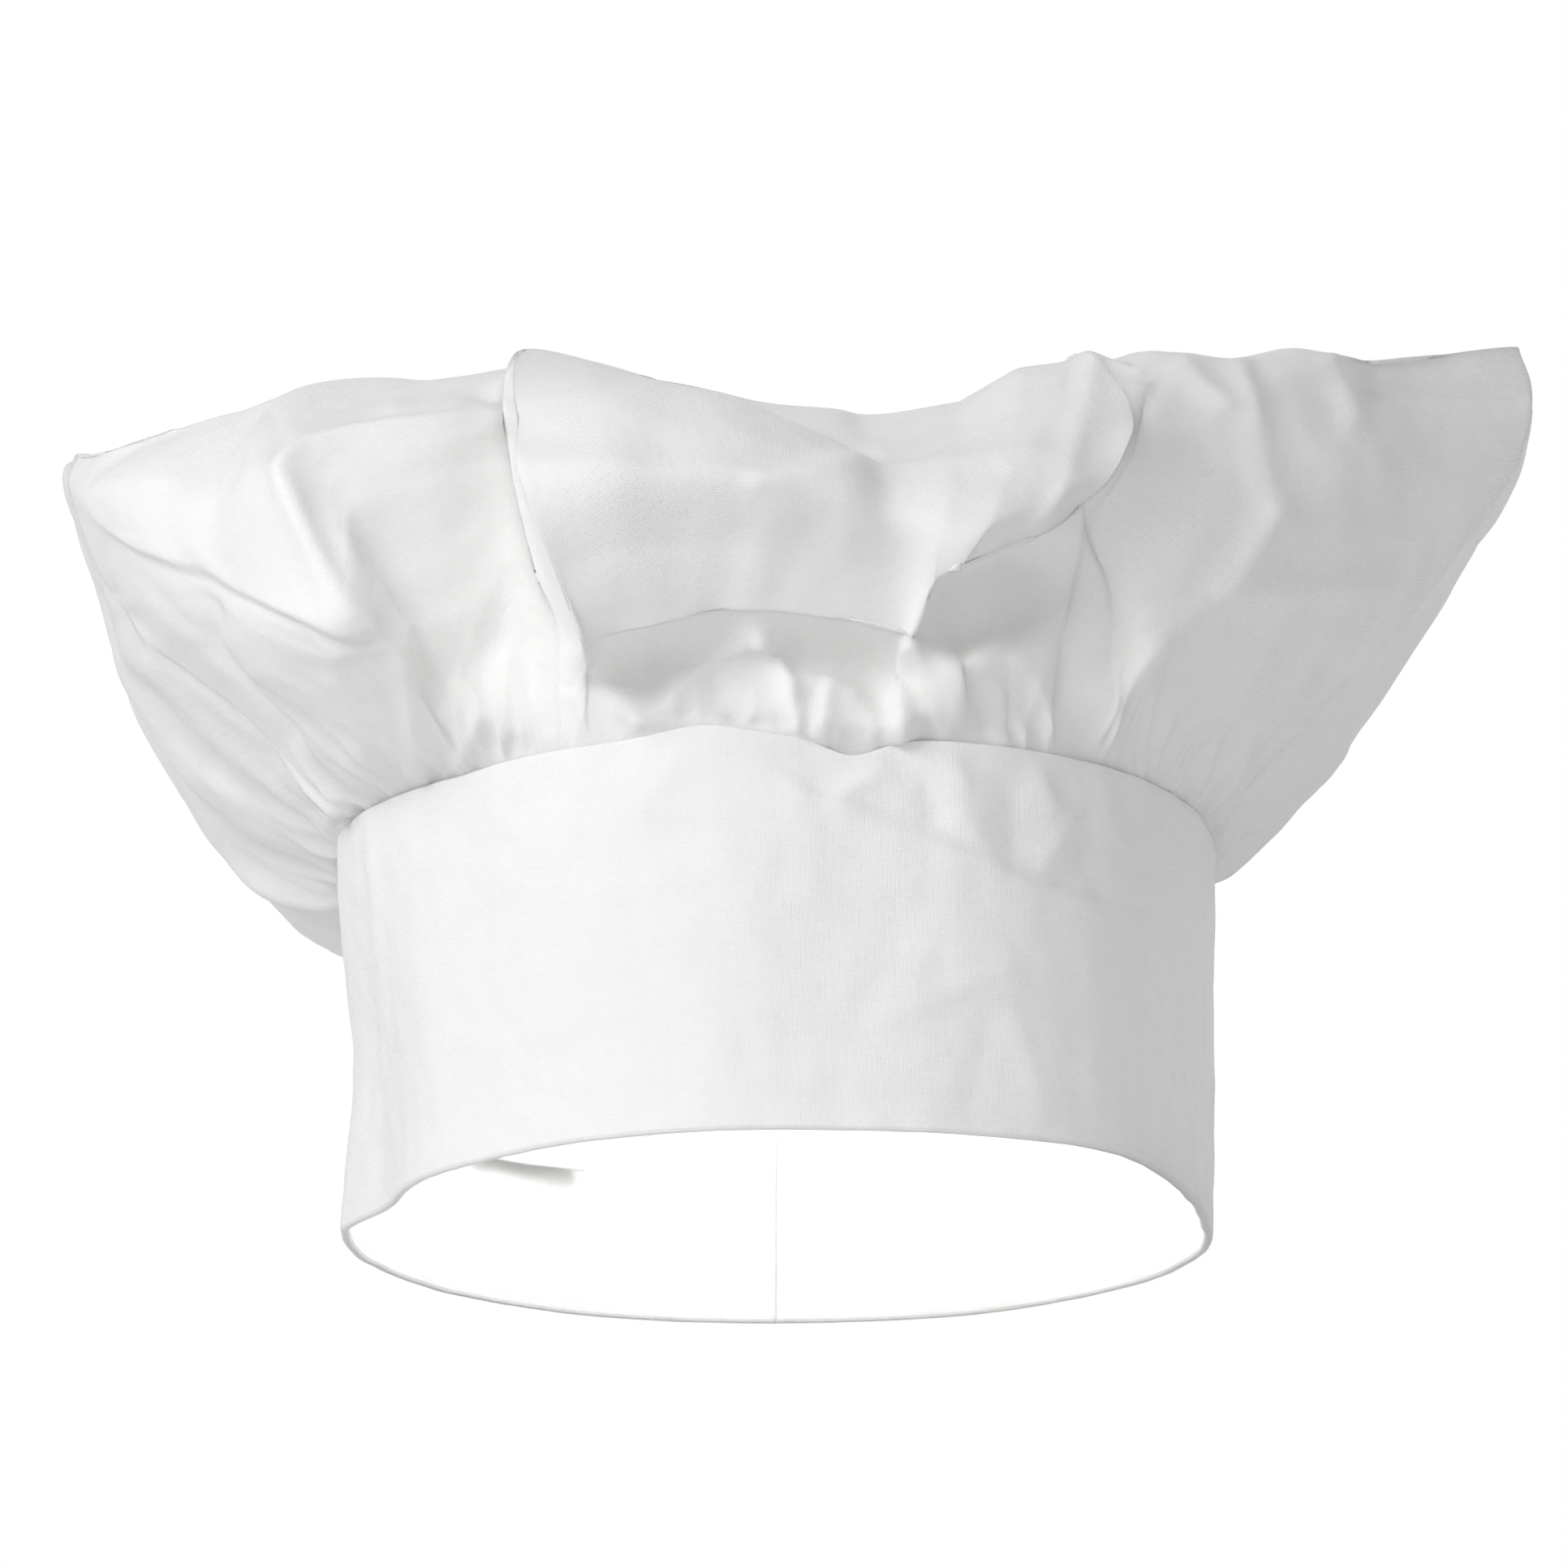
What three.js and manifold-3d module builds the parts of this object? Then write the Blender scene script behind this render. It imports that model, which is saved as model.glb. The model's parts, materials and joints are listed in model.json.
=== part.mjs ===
// A soft chef toque: a stiffened band with a full, gathered crown that slumps over it.
// Millimetres, +Z up. The wearer's forehead faces -Y, and the band stands on z = 0.
import * as THREE from 'three';
import { mergeVertices } from 'three/addons/utils/BufferGeometryUtils.js';
import Module from 'manifold-3d';

// ---- driving dimensions ------------------------------------------------------------------

const BAND = { halfWidth: 87.5, halfDepth: 102, height: 78 };
const CROWN = { halfWidth: 148, halfDepth: 124, rimHeight: 160, centreHeight: 152 };
const CLOTH = 0.6; // one layer of poplin
const GATHERED = 2 * CLOTH; // the crown's wall, where the cloth lies in gathers
const GAP = 0.35; // clear space between layers that lie on each other
const THREAD = 0.45; // sewing thread, as a square bar

// how the crown hangs: it tilts up to the wearer's left and its front drops in a soft flap
const SLUMP = { tilt: 11, frontDrop: 26, frontReach: 0.75, frontSwell: 20, ripple: 2, ripples: 7 };
const LOBES = { count: 6, depth: 0.04 }; // broad waves in the rim's oval, as a share of its size
const TOP_RISE = 1.3; // how soon the top reaches the rim's height on the way out from its middle
const TOP_SWELL = [[0, 0], [0.5, 6], [0.82, 9], [1, 1.4]]; // [share of the way out, extra height]

// arcs are measured along the band from the centre back
const CLOSURE = { bandGap: 4, rootArc: -20, tipArc: 62, height: 46, tipRadius: 14, stitchMargin: 3 };
const TAPE = { height: 24, backing: 1.0, hookFrom: 12, hookEnd: 52, loopEnd: 76, stitchMargin: 2 };
const LABEL = { width: 28, drop: 42, topHeight: 70, backArc: -58, thickness: 0.5, stitchMargin: 2 };
const FACING_STITCH_DROP = 3; // from the band's top edge down to the facing's row of stitches

// ---- sizes worked out from them -----------------------------------------------------------

const POCKET = 2.6; // between the band's two walls, for the interfacing and the crown's seam allowance
const BAND_WALL = CLOTH + POCKET + CLOTH;
const SEAM_ALLOWANCE = 10;
const BACK = Math.PI / 2; // angle of the centre back
const BAND_STEPS = 84;
const CROWN_SEGMENTS = 120;
const GATHERS = 30;
const GATHER_DEPTH = 2.4;

// nominal round crown, before it is fitted to the oval band and the slumped rim
const NECK_RADIUS = Math.sqrt(BAND.halfWidth * BAND.halfDepth);
const RIM_RADIUS = Math.sqrt(CROWN.halfWidth * CROWN.halfDepth);

const wasm = await Module();
wasm.setup();

// ---- materials ----------------------------------------------------------------------------

function material(colour, roughness) {
  return new THREE.MeshStandardMaterial({ color: colour, roughness, metalness: 0 });
}

const POPLIN = material(0xf4f4f2, 0.9);
const STIFFENER = material(0xe9e9e4, 0.95);
const TAPE_WHITE = material(0xeeeeec, 0.8);
const SATIN = material(0xf7f7f5, 0.5);
const SEWING_THREAD = material(0xfafaf8, 0.7);

// ---- helpers ------------------------------------------------------------------------------

function mesh(name, geometry, surface) {
  const piece = new THREE.Mesh(geometry, surface);
  piece.name = name;
  return piece;
}

function solid(geometry) {
  const bare = geometry.clone();
  bare.deleteAttribute('normal');
  bare.deleteAttribute('uv');
  const merged = mergeVertices(bare);
  return new wasm.Manifold(new wasm.Mesh({
    numProp: 3,
    vertProperties: new Float32Array(merged.attributes.position.array),
    triVerts: new Uint32Array(merged.index.array),
  }));
}

function geometryOf(manifold) {
  const found = manifold.getMesh();
  const geometry = new THREE.BufferGeometry();
  geometry.setAttribute('position', new THREE.BufferAttribute(found.vertProperties, 3));
  geometry.setIndex(new THREE.BufferAttribute(found.triVerts, 1));
  geometry.computeVertexNormals();
  return geometry;
}

// angle on the band's oval that lies `arc` millimetres from the centre back, towards the wearer's
// left when arc is positive
function backAngle(arc) {
  return BACK - arc / BAND.halfWidth;
}

// part of the band's outer line, anticlockwise, lifted to height z and pushed out by `outset`
class BandLine extends THREE.Curve {
  constructor(from, to, z = 0, outset = 0) {
    super();
    Object.assign(this, { from, to, z, outset });
  }

  getPoint(t, target = new THREE.Vector3()) {
    const angle = THREE.MathUtils.lerp(this.from, this.to, t);
    const normal = new THREE.Vector2(BAND.halfDepth * Math.cos(angle), BAND.halfWidth * Math.sin(angle));
    normal.normalize();
    return target.set(
      BAND.halfWidth * Math.cos(angle) + this.outset * normal.x,
      BAND.halfDepth * Math.sin(angle) + this.outset * normal.y,
      this.z,
    );
  }
}

// corner points are [depth inside the band's outer line, height]
function sweep(corners, from, to, steps = BAND_STEPS) {
  const outline = new THREE.Shape(corners.map(([depth, height]) => new THREE.Vector2(-height, depth)));
  return new THREE.ExtrudeGeometry(outline, {
    steps,
    bevelEnabled: false,
    extrudePath: new BandLine(from, to),
  });
}

// a curved plate that follows the band between two arcs from the centre back
function plate(depth, thickness, low, high, arcFrom, arcTo) {
  const corners = [[depth, low], [depth + thickness, low], [depth + thickness, high], [depth, high]];
  return sweep(corners, backAngle(arcTo), backAngle(arcFrom), 20);
}

function threadAlong(path, steps) {
  const half = THREAD / 2;
  const section = new THREE.Shape([
    new THREE.Vector2(-half, -half),
    new THREE.Vector2(half, -half),
    new THREE.Vector2(half, half),
    new THREE.Vector2(-half, half),
  ]);
  return new THREE.ExtrudeGeometry(section, { steps, bevelEnabled: false, extrudePath: path });
}

// ---- band ---------------------------------------------------------------------------------

// the band's ends stop either side of the centre back, and the closure tab bridges them
const BAND_END = CLOSURE.bandGap / 2;
const BAND_FROM = backAngle(-BAND_END);
const BAND_TO = backAngle(BAND_END) + 2 * Math.PI;

function aroundBand(corners) {
  return sweep(corners, BAND_FROM, BAND_TO);
}

// one strip folded up at the bottom edge, so its section is a U that opens at the top
function bandCloth() {
  const inner = BAND_WALL - CLOTH;
  const corners = [
    [0, 0],
    [BAND_WALL, 0],
    [BAND_WALL, BAND.height],
    [inner, BAND.height],
    [inner, CLOTH],
    [CLOTH, CLOTH],
    [CLOTH, BAND.height],
    [0, BAND.height],
  ];
  return mesh('band_cloth', aroundBand(corners), POPLIN);
}

function bandInterfacing() {
  const outer = CLOTH + GAP;
  const low = CLOTH + 2 * GAP;
  const high = BAND.height - SEAM_ALLOWANCE - 2 * GAP;
  const corners = [[outer, low], [outer + CLOTH, low], [outer + CLOTH, high], [outer, high]];
  return mesh('band_interfacing', aroundBand(corners), STIFFENER);
}

function bandThread(name, depth, height) {
  const path = new BandLine(BAND_FROM, BAND_TO, height, -depth);
  return mesh(name, threadAlong(path, BAND_STEPS), SEWING_THREAD);
}

// both threads of the crown's seam lie between its allowance and the band's inner wall
const SEAM_THREAD_DEPTH = BAND_WALL - CLOTH - GAP - THREAD / 2;

function crownSeamThread() {
  return bandThread('thread_crown_seam', SEAM_THREAD_DEPTH, BAND.height - 0.75 * SEAM_ALLOWANCE);
}

function gatherThread() {
  return bandThread('thread_gather', SEAM_THREAD_DEPTH, BAND.height - 0.3 * SEAM_ALLOWANCE);
}

function facingEdgeThread() {
  return bandThread('thread_facing_edge', BAND_WALL + GAP + THREAD / 2, BAND.height - FACING_STITCH_DROP);
}

// ---- crown --------------------------------------------------------------------------------

// how near an angle is to the forehead: 1 at the centre front, fading to 0 at the sides
function nearFront(angle) {
  const away = Math.atan2(Math.cos(angle), -Math.sin(angle));
  return Math.exp(-((away / SLUMP.frontReach) ** 2));
}

function rimHeight(angle) {
  const tilt = SLUMP.tilt * Math.cos(angle);
  const drop = SLUMP.frontDrop * nearFront(angle);
  const ripple = SLUMP.ripple * Math.cos(SLUMP.ripples * angle);
  return CROWN.rimHeight + tilt - drop + ripple;
}

// moves each vertex; move gets the point, its angle, its radius and the index of its profile point
function reshape(geometry, profileLength, move) {
  const points = geometry.attributes.position;
  const point = new THREE.Vector3();
  for (let i = 0; i < points.count; i += 1) {
    point.fromBufferAttribute(points, i);
    move(point, Math.atan2(point.y, point.x), Math.hypot(point.x, point.y), i % profileLength);
    points.setXYZ(i, point.x, point.y, point.z);
  }
  return geometry;
}

// a profile of [radius, height] turned about the Z axis
function turned(profile) {
  const points = profile.map(([radius, height]) => new THREE.Vector2(radius, height));
  return new THREE.LatheGeometry(points, CROWN_SEGMENTS).rotateX(Math.PI / 2);
}

// the lobes of the rim's oval, which fade towards the middle
function lobe(angle, share) {
  return 1 - LOBES.depth * share * (1 - Math.cos(LOBES.count * angle)) / 2;
}

// gathered wall, from its allowance inside the band to just under the rim
function crownSide() {
  // share of the way out from band to rim, share of the way up, and the wall's thickness
  const wall = [
    { out: 0, up: -SEAM_ALLOWANCE / (CROWN.rimHeight - BAND.height), thick: CLOTH },
    { out: 0, up: 0.01, thick: CLOTH },
    { out: 0.18, up: 0.12, thick: GATHERED },
    { out: 0.46, up: 0.3, thick: GATHERED },
    { out: 0.72, up: 0.52, thick: GATHERED },
    { out: 0.92, up: 0.78, thick: GATHERED },
    { out: 1, up: 0.975, thick: GATHERED },
  ];
  const loop = [...wall, ...wall.map((station) => ({ ...station, inside: true })).reverse(), wall[0]];
  const inset = CLOTH + 2 * GAP;
  const profile = loop.map(({ out, up, thick, inside }) => [
    THREE.MathUtils.lerp(NECK_RADIUS, RIM_RADIUS, out) - (inside ? thick : 0),
    THREE.MathUtils.lerp(BAND.height, CROWN.rimHeight, up),
  ]);
  const geometry = reshape(turned(profile), profile.length, (point, angle, radius, index) => {
    const { out, up, thick, inside } = loop[index];
    const gather = GATHER_DEPTH * Math.sin(Math.PI * out) * Math.cos(GATHERS * angle);
    const rim = lobe(angle, out);
    const less = inset * (1 - out) + (inside ? thick : 0) - gather;
    point.x = (THREE.MathUtils.lerp(BAND.halfWidth, CROWN.halfWidth * rim, out) - less) * Math.cos(angle);
    point.y = (THREE.MathUtils.lerp(BAND.halfDepth, CROWN.halfDepth * rim, out) - less) * Math.sin(angle);
    const top = out > 0 ? rimHeight(angle) : CROWN.rimHeight;
    point.z = THREE.MathUtils.lerp(BAND.height, top, up);
    if (inside && out > 0 && out < 1) point.z += 0.5 * thick;
  });
  return mesh('crown_side', geometry, POPLIN);
}

// slack top of the crown, from just above the rim to the sunken middle
function crownTop() {
  const shares = [0, 0.35, 0.62, 0.82, 0.94, 1];
  const under = shares.map((share) => [share * RIM_RADIUS, -GATHERED]);
  const over = shares.map((share) => [share * RIM_RADIUS, 0]).reverse();
  const profile = [...under, ...over];
  const swell = new THREE.SplineCurve(TOP_SWELL.map(([share, height]) => new THREE.Vector2(share, height)));
  const geometry = reshape(turned(profile), profile.length, (point, angle, radius) => {
    const share = radius / RIM_RADIUS;
    const rim = rimHeight(angle) + SLUMP.frontSwell * nearFront(angle) * (1 - share ** 4);
    const level = THREE.MathUtils.lerp(CROWN.centreHeight, rim, Math.min(1, TOP_RISE * share) ** 2);
    const reach = share * lobe(angle, share);
    point.x = CROWN.halfWidth * reach * Math.cos(angle);
    point.y = CROWN.halfDepth * reach * Math.sin(angle);
    point.z += level + swell.getPoint(share).y;
  });
  return mesh('crown_top', geometry, POPLIN);
}

// ---- back closure -------------------------------------------------------------------------

const TAB_LOW = (BAND.height - CLOSURE.height) / 2;
const TAB_HIGH = TAB_LOW + CLOSURE.height;
const TAPE_LOW = (BAND.height - TAPE.height) / 2;
const TAPE_HIGH = TAPE_LOW + TAPE.height;

// the stack on the band's outer face, outwards: loop tape, hook tape, tab facing, stiffener, tab outer
const LOOP_DEPTH = -GAP - TAPE.backing;
const HOOK_DEPTH = LOOP_DEPTH - GAP - TAPE.backing;
const TAB_FACING_DEPTH = HOOK_DEPTH - GAP - CLOTH;
const TAB_STIFFENER_DEPTH = TAB_FACING_DEPTH - GAP - CLOTH;
const TAB_OUTER_DEPTH = TAB_STIFFENER_DEPTH - GAP - CLOTH;

// rounded outline of the tab seen from behind, as a block that runs through the closure
function tabOutline(inset) {
  const behindRoot = -BAND.halfWidth;
  const reach = new BandLine(backAngle(CLOSURE.tipArc), 0, 0, -TAB_OUTER_DEPTH).getPoint(0).x - inset;
  const low = TAB_LOW + inset;
  const high = TAB_HIGH - inset;
  const radius = CLOSURE.tipRadius - inset;
  const outline = new THREE.Shape();
  outline.moveTo(behindRoot, low);
  outline.lineTo(reach - radius, low);
  outline.absarc(reach - radius, low + radius, radius, -Math.PI / 2, 0, false);
  outline.absarc(reach - radius, high - radius, radius, 0, Math.PI / 2, false);
  outline.lineTo(behindRoot, high);
  const block = new THREE.ExtrudeGeometry(outline, {
    depth: BAND.halfDepth,
    bevelEnabled: false,
    curveSegments: 6,
  });
  return block.rotateX(Math.PI / 2).translate(0, 1.5 * BAND.halfDepth, 0);
}

function tabLayer(name, depth, inset, surface) {
  const strip = plate(
    depth,
    CLOTH,
    TAB_LOW + inset,
    TAB_HIGH - inset,
    CLOSURE.rootArc + inset,
    CLOSURE.tipArc + 2 * CLOSURE.tipRadius,
  );
  return mesh(name, geometryOf(solid(strip).intersect(solid(tabOutline(inset)))), surface);
}

function hookTape() {
  const strip = plate(HOOK_DEPTH, TAPE.backing, TAPE_LOW, TAPE_HIGH, TAPE.hookFrom, TAPE.hookEnd);
  return mesh('hook_tape', strip, TAPE_WHITE);
}

function loopTape() {
  const from = BAND_END + TAPE.stitchMargin;
  const strip = plate(LOOP_DEPTH, TAPE.backing, TAPE_LOW, TAPE_HIGH, from, TAPE.loopEnd);
  return mesh('loop_tape', strip, TAPE_WHITE);
}

// a row of stitches round three sides of a patch on the closure, open towards the root
function patchThread(name, depth, low, high, arcFrom, arcTo) {
  const outset = THREAD / 2 - depth;
  const at = (arc, height) => new BandLine(backAngle(arc), 0, height, outset).getPoint(0);
  const arcs = Array.from({ length: 13 }, (_, i) => THREE.MathUtils.lerp(arcFrom, arcTo, i / 12));
  const lower = arcs.map((arc) => at(arc, low));
  const upper = arcs.reverse().map((arc) => at(arc, high));
  const path = new THREE.CatmullRomCurve3([...lower, ...upper], false, 'centripetal');
  return mesh(name, threadAlong(path, 60), SEWING_THREAD);
}

function tabEdgeThread() {
  const margin = CLOSURE.stitchMargin;
  const from = CLOSURE.rootArc + margin;
  const to = CLOSURE.tipArc - CLOSURE.tipRadius / 2;
  const low = TAB_LOW + margin;
  const high = TAB_HIGH - margin;
  return patchThread('thread_tab_edge', TAB_OUTER_DEPTH - GAP, low, high, from, to);
}

function loopTapeThread() {
  const low = TAPE_LOW - TAPE.stitchMargin;
  const high = TAPE_HIGH + TAPE.stitchMargin;
  return patchThread('thread_loop_tape', -GAP, low, high, BAND_END + 1, TAPE.loopEnd + TAPE.stitchMargin);
}

// ---- care label ---------------------------------------------------------------------------

const LABEL_DEPTH = BAND_WALL + 2 * GAP + THREAD;

function careLabel() {
  const from = LABEL.backArc - LABEL.width / 2;
  const low = LABEL.topHeight - LABEL.drop;
  const ribbon = plate(LABEL_DEPTH, LABEL.thickness, low, LABEL.topHeight, from, from + LABEL.width);
  return mesh('care_label', ribbon, SATIN);
}

function labelThread() {
  const reach = LABEL.width / 2 - LABEL.stitchMargin;
  const depth = LABEL_DEPTH + LABEL.thickness + GAP + THREAD / 2;
  const from = backAngle(LABEL.backArc + reach);
  const to = backAngle(LABEL.backArc - reach);
  const path = new BandLine(from, to, LABEL.topHeight - LABEL.stitchMargin, -depth);
  return mesh('thread_label', threadAlong(path, 10), SEWING_THREAD);
}

// ---- the toque ----------------------------------------------------------------------------

function closureTab() {
  const tab = new THREE.Group();
  tab.add(tabLayer('tab_outer', TAB_OUTER_DEPTH, 0, POPLIN));
  tab.add(tabLayer('tab_interfacing', TAB_STIFFENER_DEPTH, 2, STIFFENER));
  tab.add(tabLayer('tab_facing', TAB_FACING_DEPTH, 0, POPLIN));
  tab.add(hookTape());
  tab.add(tabEdgeThread());
  return tab;
}

const toque = new THREE.Group();
toque.add(
  bandCloth(),
  bandInterfacing(),
  crownSide(),
  crownTop(),
  crownSeamThread(),
  gatherThread(),
  facingEdgeThread(),
  loopTape(),
  loopTapeThread(),
  closureTab(),
  careLabel(),
  labelThread(),
);

export default toque;
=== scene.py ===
"""A soft white chef toque: a folded, stiffened band with a full gathered crown slumped over it.

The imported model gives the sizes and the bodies. Lengths here are in millimetres until add_mesh turns
them into metres. The forehead faces -Y and +X is the right-hand side as seen from the front.
"""
import json
import math
import random

import bpy
import numpy as np
from mathutils import Vector
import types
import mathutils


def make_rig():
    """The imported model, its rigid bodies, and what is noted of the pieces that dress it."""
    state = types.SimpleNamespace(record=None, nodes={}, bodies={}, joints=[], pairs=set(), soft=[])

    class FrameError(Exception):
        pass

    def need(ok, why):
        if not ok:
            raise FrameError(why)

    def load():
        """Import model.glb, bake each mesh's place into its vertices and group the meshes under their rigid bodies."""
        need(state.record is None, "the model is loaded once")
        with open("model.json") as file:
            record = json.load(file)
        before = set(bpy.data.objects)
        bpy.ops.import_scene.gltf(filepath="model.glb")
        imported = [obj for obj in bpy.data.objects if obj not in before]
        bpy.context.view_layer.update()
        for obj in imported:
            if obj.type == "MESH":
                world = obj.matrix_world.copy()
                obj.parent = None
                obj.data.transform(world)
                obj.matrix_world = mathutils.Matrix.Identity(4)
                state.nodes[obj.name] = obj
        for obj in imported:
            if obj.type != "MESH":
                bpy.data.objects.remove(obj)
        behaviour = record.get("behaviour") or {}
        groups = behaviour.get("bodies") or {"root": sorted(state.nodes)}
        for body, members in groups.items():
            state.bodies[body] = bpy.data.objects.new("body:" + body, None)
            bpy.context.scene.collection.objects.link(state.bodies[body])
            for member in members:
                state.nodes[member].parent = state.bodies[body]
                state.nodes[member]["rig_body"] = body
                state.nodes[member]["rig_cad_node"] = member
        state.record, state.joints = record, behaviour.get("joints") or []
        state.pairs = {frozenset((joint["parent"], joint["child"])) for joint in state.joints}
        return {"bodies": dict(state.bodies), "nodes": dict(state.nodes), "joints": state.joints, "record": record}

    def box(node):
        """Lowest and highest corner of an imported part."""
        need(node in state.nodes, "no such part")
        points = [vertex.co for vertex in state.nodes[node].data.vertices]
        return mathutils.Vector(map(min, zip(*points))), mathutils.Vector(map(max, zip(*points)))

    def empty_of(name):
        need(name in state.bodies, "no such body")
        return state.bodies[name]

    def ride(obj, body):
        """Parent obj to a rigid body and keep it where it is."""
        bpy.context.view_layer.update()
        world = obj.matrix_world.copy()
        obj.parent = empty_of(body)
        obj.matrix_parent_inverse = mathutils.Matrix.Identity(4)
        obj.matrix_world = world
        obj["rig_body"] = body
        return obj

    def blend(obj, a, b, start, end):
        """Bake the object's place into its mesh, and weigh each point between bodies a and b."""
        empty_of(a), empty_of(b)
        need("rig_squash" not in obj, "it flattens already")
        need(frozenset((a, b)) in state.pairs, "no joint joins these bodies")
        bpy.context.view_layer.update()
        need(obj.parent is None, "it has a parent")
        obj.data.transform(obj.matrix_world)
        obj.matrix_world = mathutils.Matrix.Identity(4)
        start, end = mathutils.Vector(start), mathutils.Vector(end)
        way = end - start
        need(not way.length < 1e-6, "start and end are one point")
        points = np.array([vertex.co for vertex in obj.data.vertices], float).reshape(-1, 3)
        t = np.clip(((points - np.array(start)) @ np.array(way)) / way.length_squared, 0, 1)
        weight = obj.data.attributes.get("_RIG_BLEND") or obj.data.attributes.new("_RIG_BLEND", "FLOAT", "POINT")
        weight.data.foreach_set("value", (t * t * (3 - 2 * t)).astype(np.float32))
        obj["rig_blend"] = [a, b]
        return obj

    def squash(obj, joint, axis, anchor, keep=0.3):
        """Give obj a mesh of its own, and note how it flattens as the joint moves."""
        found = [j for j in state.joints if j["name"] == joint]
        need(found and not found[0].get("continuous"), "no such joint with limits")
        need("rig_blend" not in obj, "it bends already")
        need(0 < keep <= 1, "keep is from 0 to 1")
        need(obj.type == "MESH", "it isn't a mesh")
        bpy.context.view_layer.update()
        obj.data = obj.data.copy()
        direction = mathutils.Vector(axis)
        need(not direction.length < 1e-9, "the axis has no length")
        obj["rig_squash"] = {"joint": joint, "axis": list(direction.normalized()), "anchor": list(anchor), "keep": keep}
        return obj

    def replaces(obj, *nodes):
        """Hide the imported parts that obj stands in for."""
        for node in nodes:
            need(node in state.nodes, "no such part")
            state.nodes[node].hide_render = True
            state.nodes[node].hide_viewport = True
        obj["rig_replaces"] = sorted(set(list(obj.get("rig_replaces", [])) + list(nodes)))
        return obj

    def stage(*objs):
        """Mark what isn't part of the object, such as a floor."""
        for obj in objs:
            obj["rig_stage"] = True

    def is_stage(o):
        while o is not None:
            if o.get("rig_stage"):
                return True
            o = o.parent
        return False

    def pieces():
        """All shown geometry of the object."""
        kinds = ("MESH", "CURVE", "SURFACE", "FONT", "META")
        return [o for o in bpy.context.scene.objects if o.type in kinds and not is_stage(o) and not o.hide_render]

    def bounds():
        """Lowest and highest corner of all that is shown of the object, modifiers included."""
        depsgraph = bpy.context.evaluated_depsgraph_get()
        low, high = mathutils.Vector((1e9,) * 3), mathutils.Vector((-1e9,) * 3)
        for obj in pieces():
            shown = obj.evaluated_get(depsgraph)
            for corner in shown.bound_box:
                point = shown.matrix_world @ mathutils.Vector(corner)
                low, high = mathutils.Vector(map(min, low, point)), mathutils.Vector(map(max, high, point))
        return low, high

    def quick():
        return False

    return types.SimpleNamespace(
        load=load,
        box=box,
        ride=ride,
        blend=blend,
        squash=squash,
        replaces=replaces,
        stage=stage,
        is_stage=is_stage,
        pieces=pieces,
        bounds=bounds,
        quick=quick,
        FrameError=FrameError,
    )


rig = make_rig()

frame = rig.load()
cad_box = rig.bounds()

MM = 0.001
random.seed(7)

# ---- sizes from the frame ----

HALF_WIDTH, HALF_DEPTH, BAND_HEIGHT = np.array(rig.box("band_cloth")[1]) / MM

# ---- view ----

VIEW_BELOW = math.radians(12.0)   # the camera looks up at the hat from this far below level
VIEW_DISTANCE = 5.0
VIEW_WIDTH = 0.3124
VIEW_CENTRE = Vector((0.0016, 0.0, 0.0902))
TOWARDS_CAMERA = (0, -math.cos(VIEW_BELOW), -math.sin(VIEW_BELOW))

# ---- cloth ----

CLOTH = 0.4           # one layer of poplin
BAND_THICKNESS = 2.0  # folded band with its stiffener
THREAD_PITCH = 0.5    # distance between neighbouring threads of the weave


# ---- curves and grids ----

def hermite(knots, stations, samples, closed=False, slack=None):
    """Values on a smooth curve through knots, which lie at stations, at each of samples.

    slack starts with one entry for each knot: 1 is smooth and 0 makes a corner there.
    """
    knots = np.asarray(knots, float)
    stations = np.asarray(stations, float)
    slack = np.ones(len(knots)) if slack is None else np.asarray(slack, float)
    slack = slack.reshape(slack.shape + (1,) * (knots.ndim - slack.ndim))
    one_each = (-1, *[1] * (knots.ndim - 1))
    if closed:
        gaps = np.diff(stations)
        chords = np.roll(knots, -1, 0) - np.roll(knots, 1, 0)
        tangents = chords / (np.roll(gaps, 1) + gaps).reshape(one_each) * slack
        knots = np.concatenate([knots, knots[:1]])
        tangents = np.concatenate([tangents, tangents[:1]])
        samples = np.mod(samples, stations[-1])
    else:
        tangents = np.gradient(knots, stations, axis=0) * slack
    left = np.clip(np.searchsorted(stations, samples, side="right") - 1, 0, len(stations) - 2)
    span = stations[left + 1] - stations[left]
    t = ((samples - stations[left]) / span).reshape(one_each)
    span = span.reshape(one_each)
    return (
        (2 * t**3 - 3 * t**2 + 1) * knots[left]
        + (t**3 - 2 * t**2 + t) * span * tangents[left]
        + (3 * t**2 - 2 * t**3) * knots[left + 1]
        + (t**3 - t**2) * span * tangents[left + 1]
    )


def lengths_along(points):
    """How far along a line each of its points lies."""
    return np.concatenate([[0], np.cumsum(np.linalg.norm(np.diff(points, axis=0), axis=1))])


def closed_line(points, samples=2001):
    """A closed smooth outline, as a function of the distance along it, and its length."""
    points = np.asarray(points, float)
    stations = lengths_along(np.concatenate([points, points[:1]]))
    path = hermite(points, stations, np.linspace(0, stations[-1], samples), closed=True)
    path[-1] = path[0]
    lengths = lengths_along(path)

    def at(distance):
        wrapped = np.mod(distance, lengths[-1])
        return np.stack([np.interp(wrapped, lengths, path[:, i]) for i in range(path.shape[1])], -1)

    return at, lengths[-1]


def smooth(low, high, value):
    """0 at low and 1 at high, with no corner at either; low may be the greater of the two."""
    t = np.clip((value - low) / (high - low), 0, 1)
    return t * t * (3 - 2 * t)


def unit(vectors):
    return vectors / np.maximum(np.linalg.norm(vectors, axis=-1, keepdims=True), 1e-9)


def grid_normals(points, closed):
    """Unit normals of a grid of points, whose first axis may close on itself."""
    if closed:
        across = np.roll(points, -1, 0) - np.roll(points, 1, 0)
    else:
        across = np.gradient(points, axis=0)
    return unit(np.cross(across, np.gradient(points, axis=1)))


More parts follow.
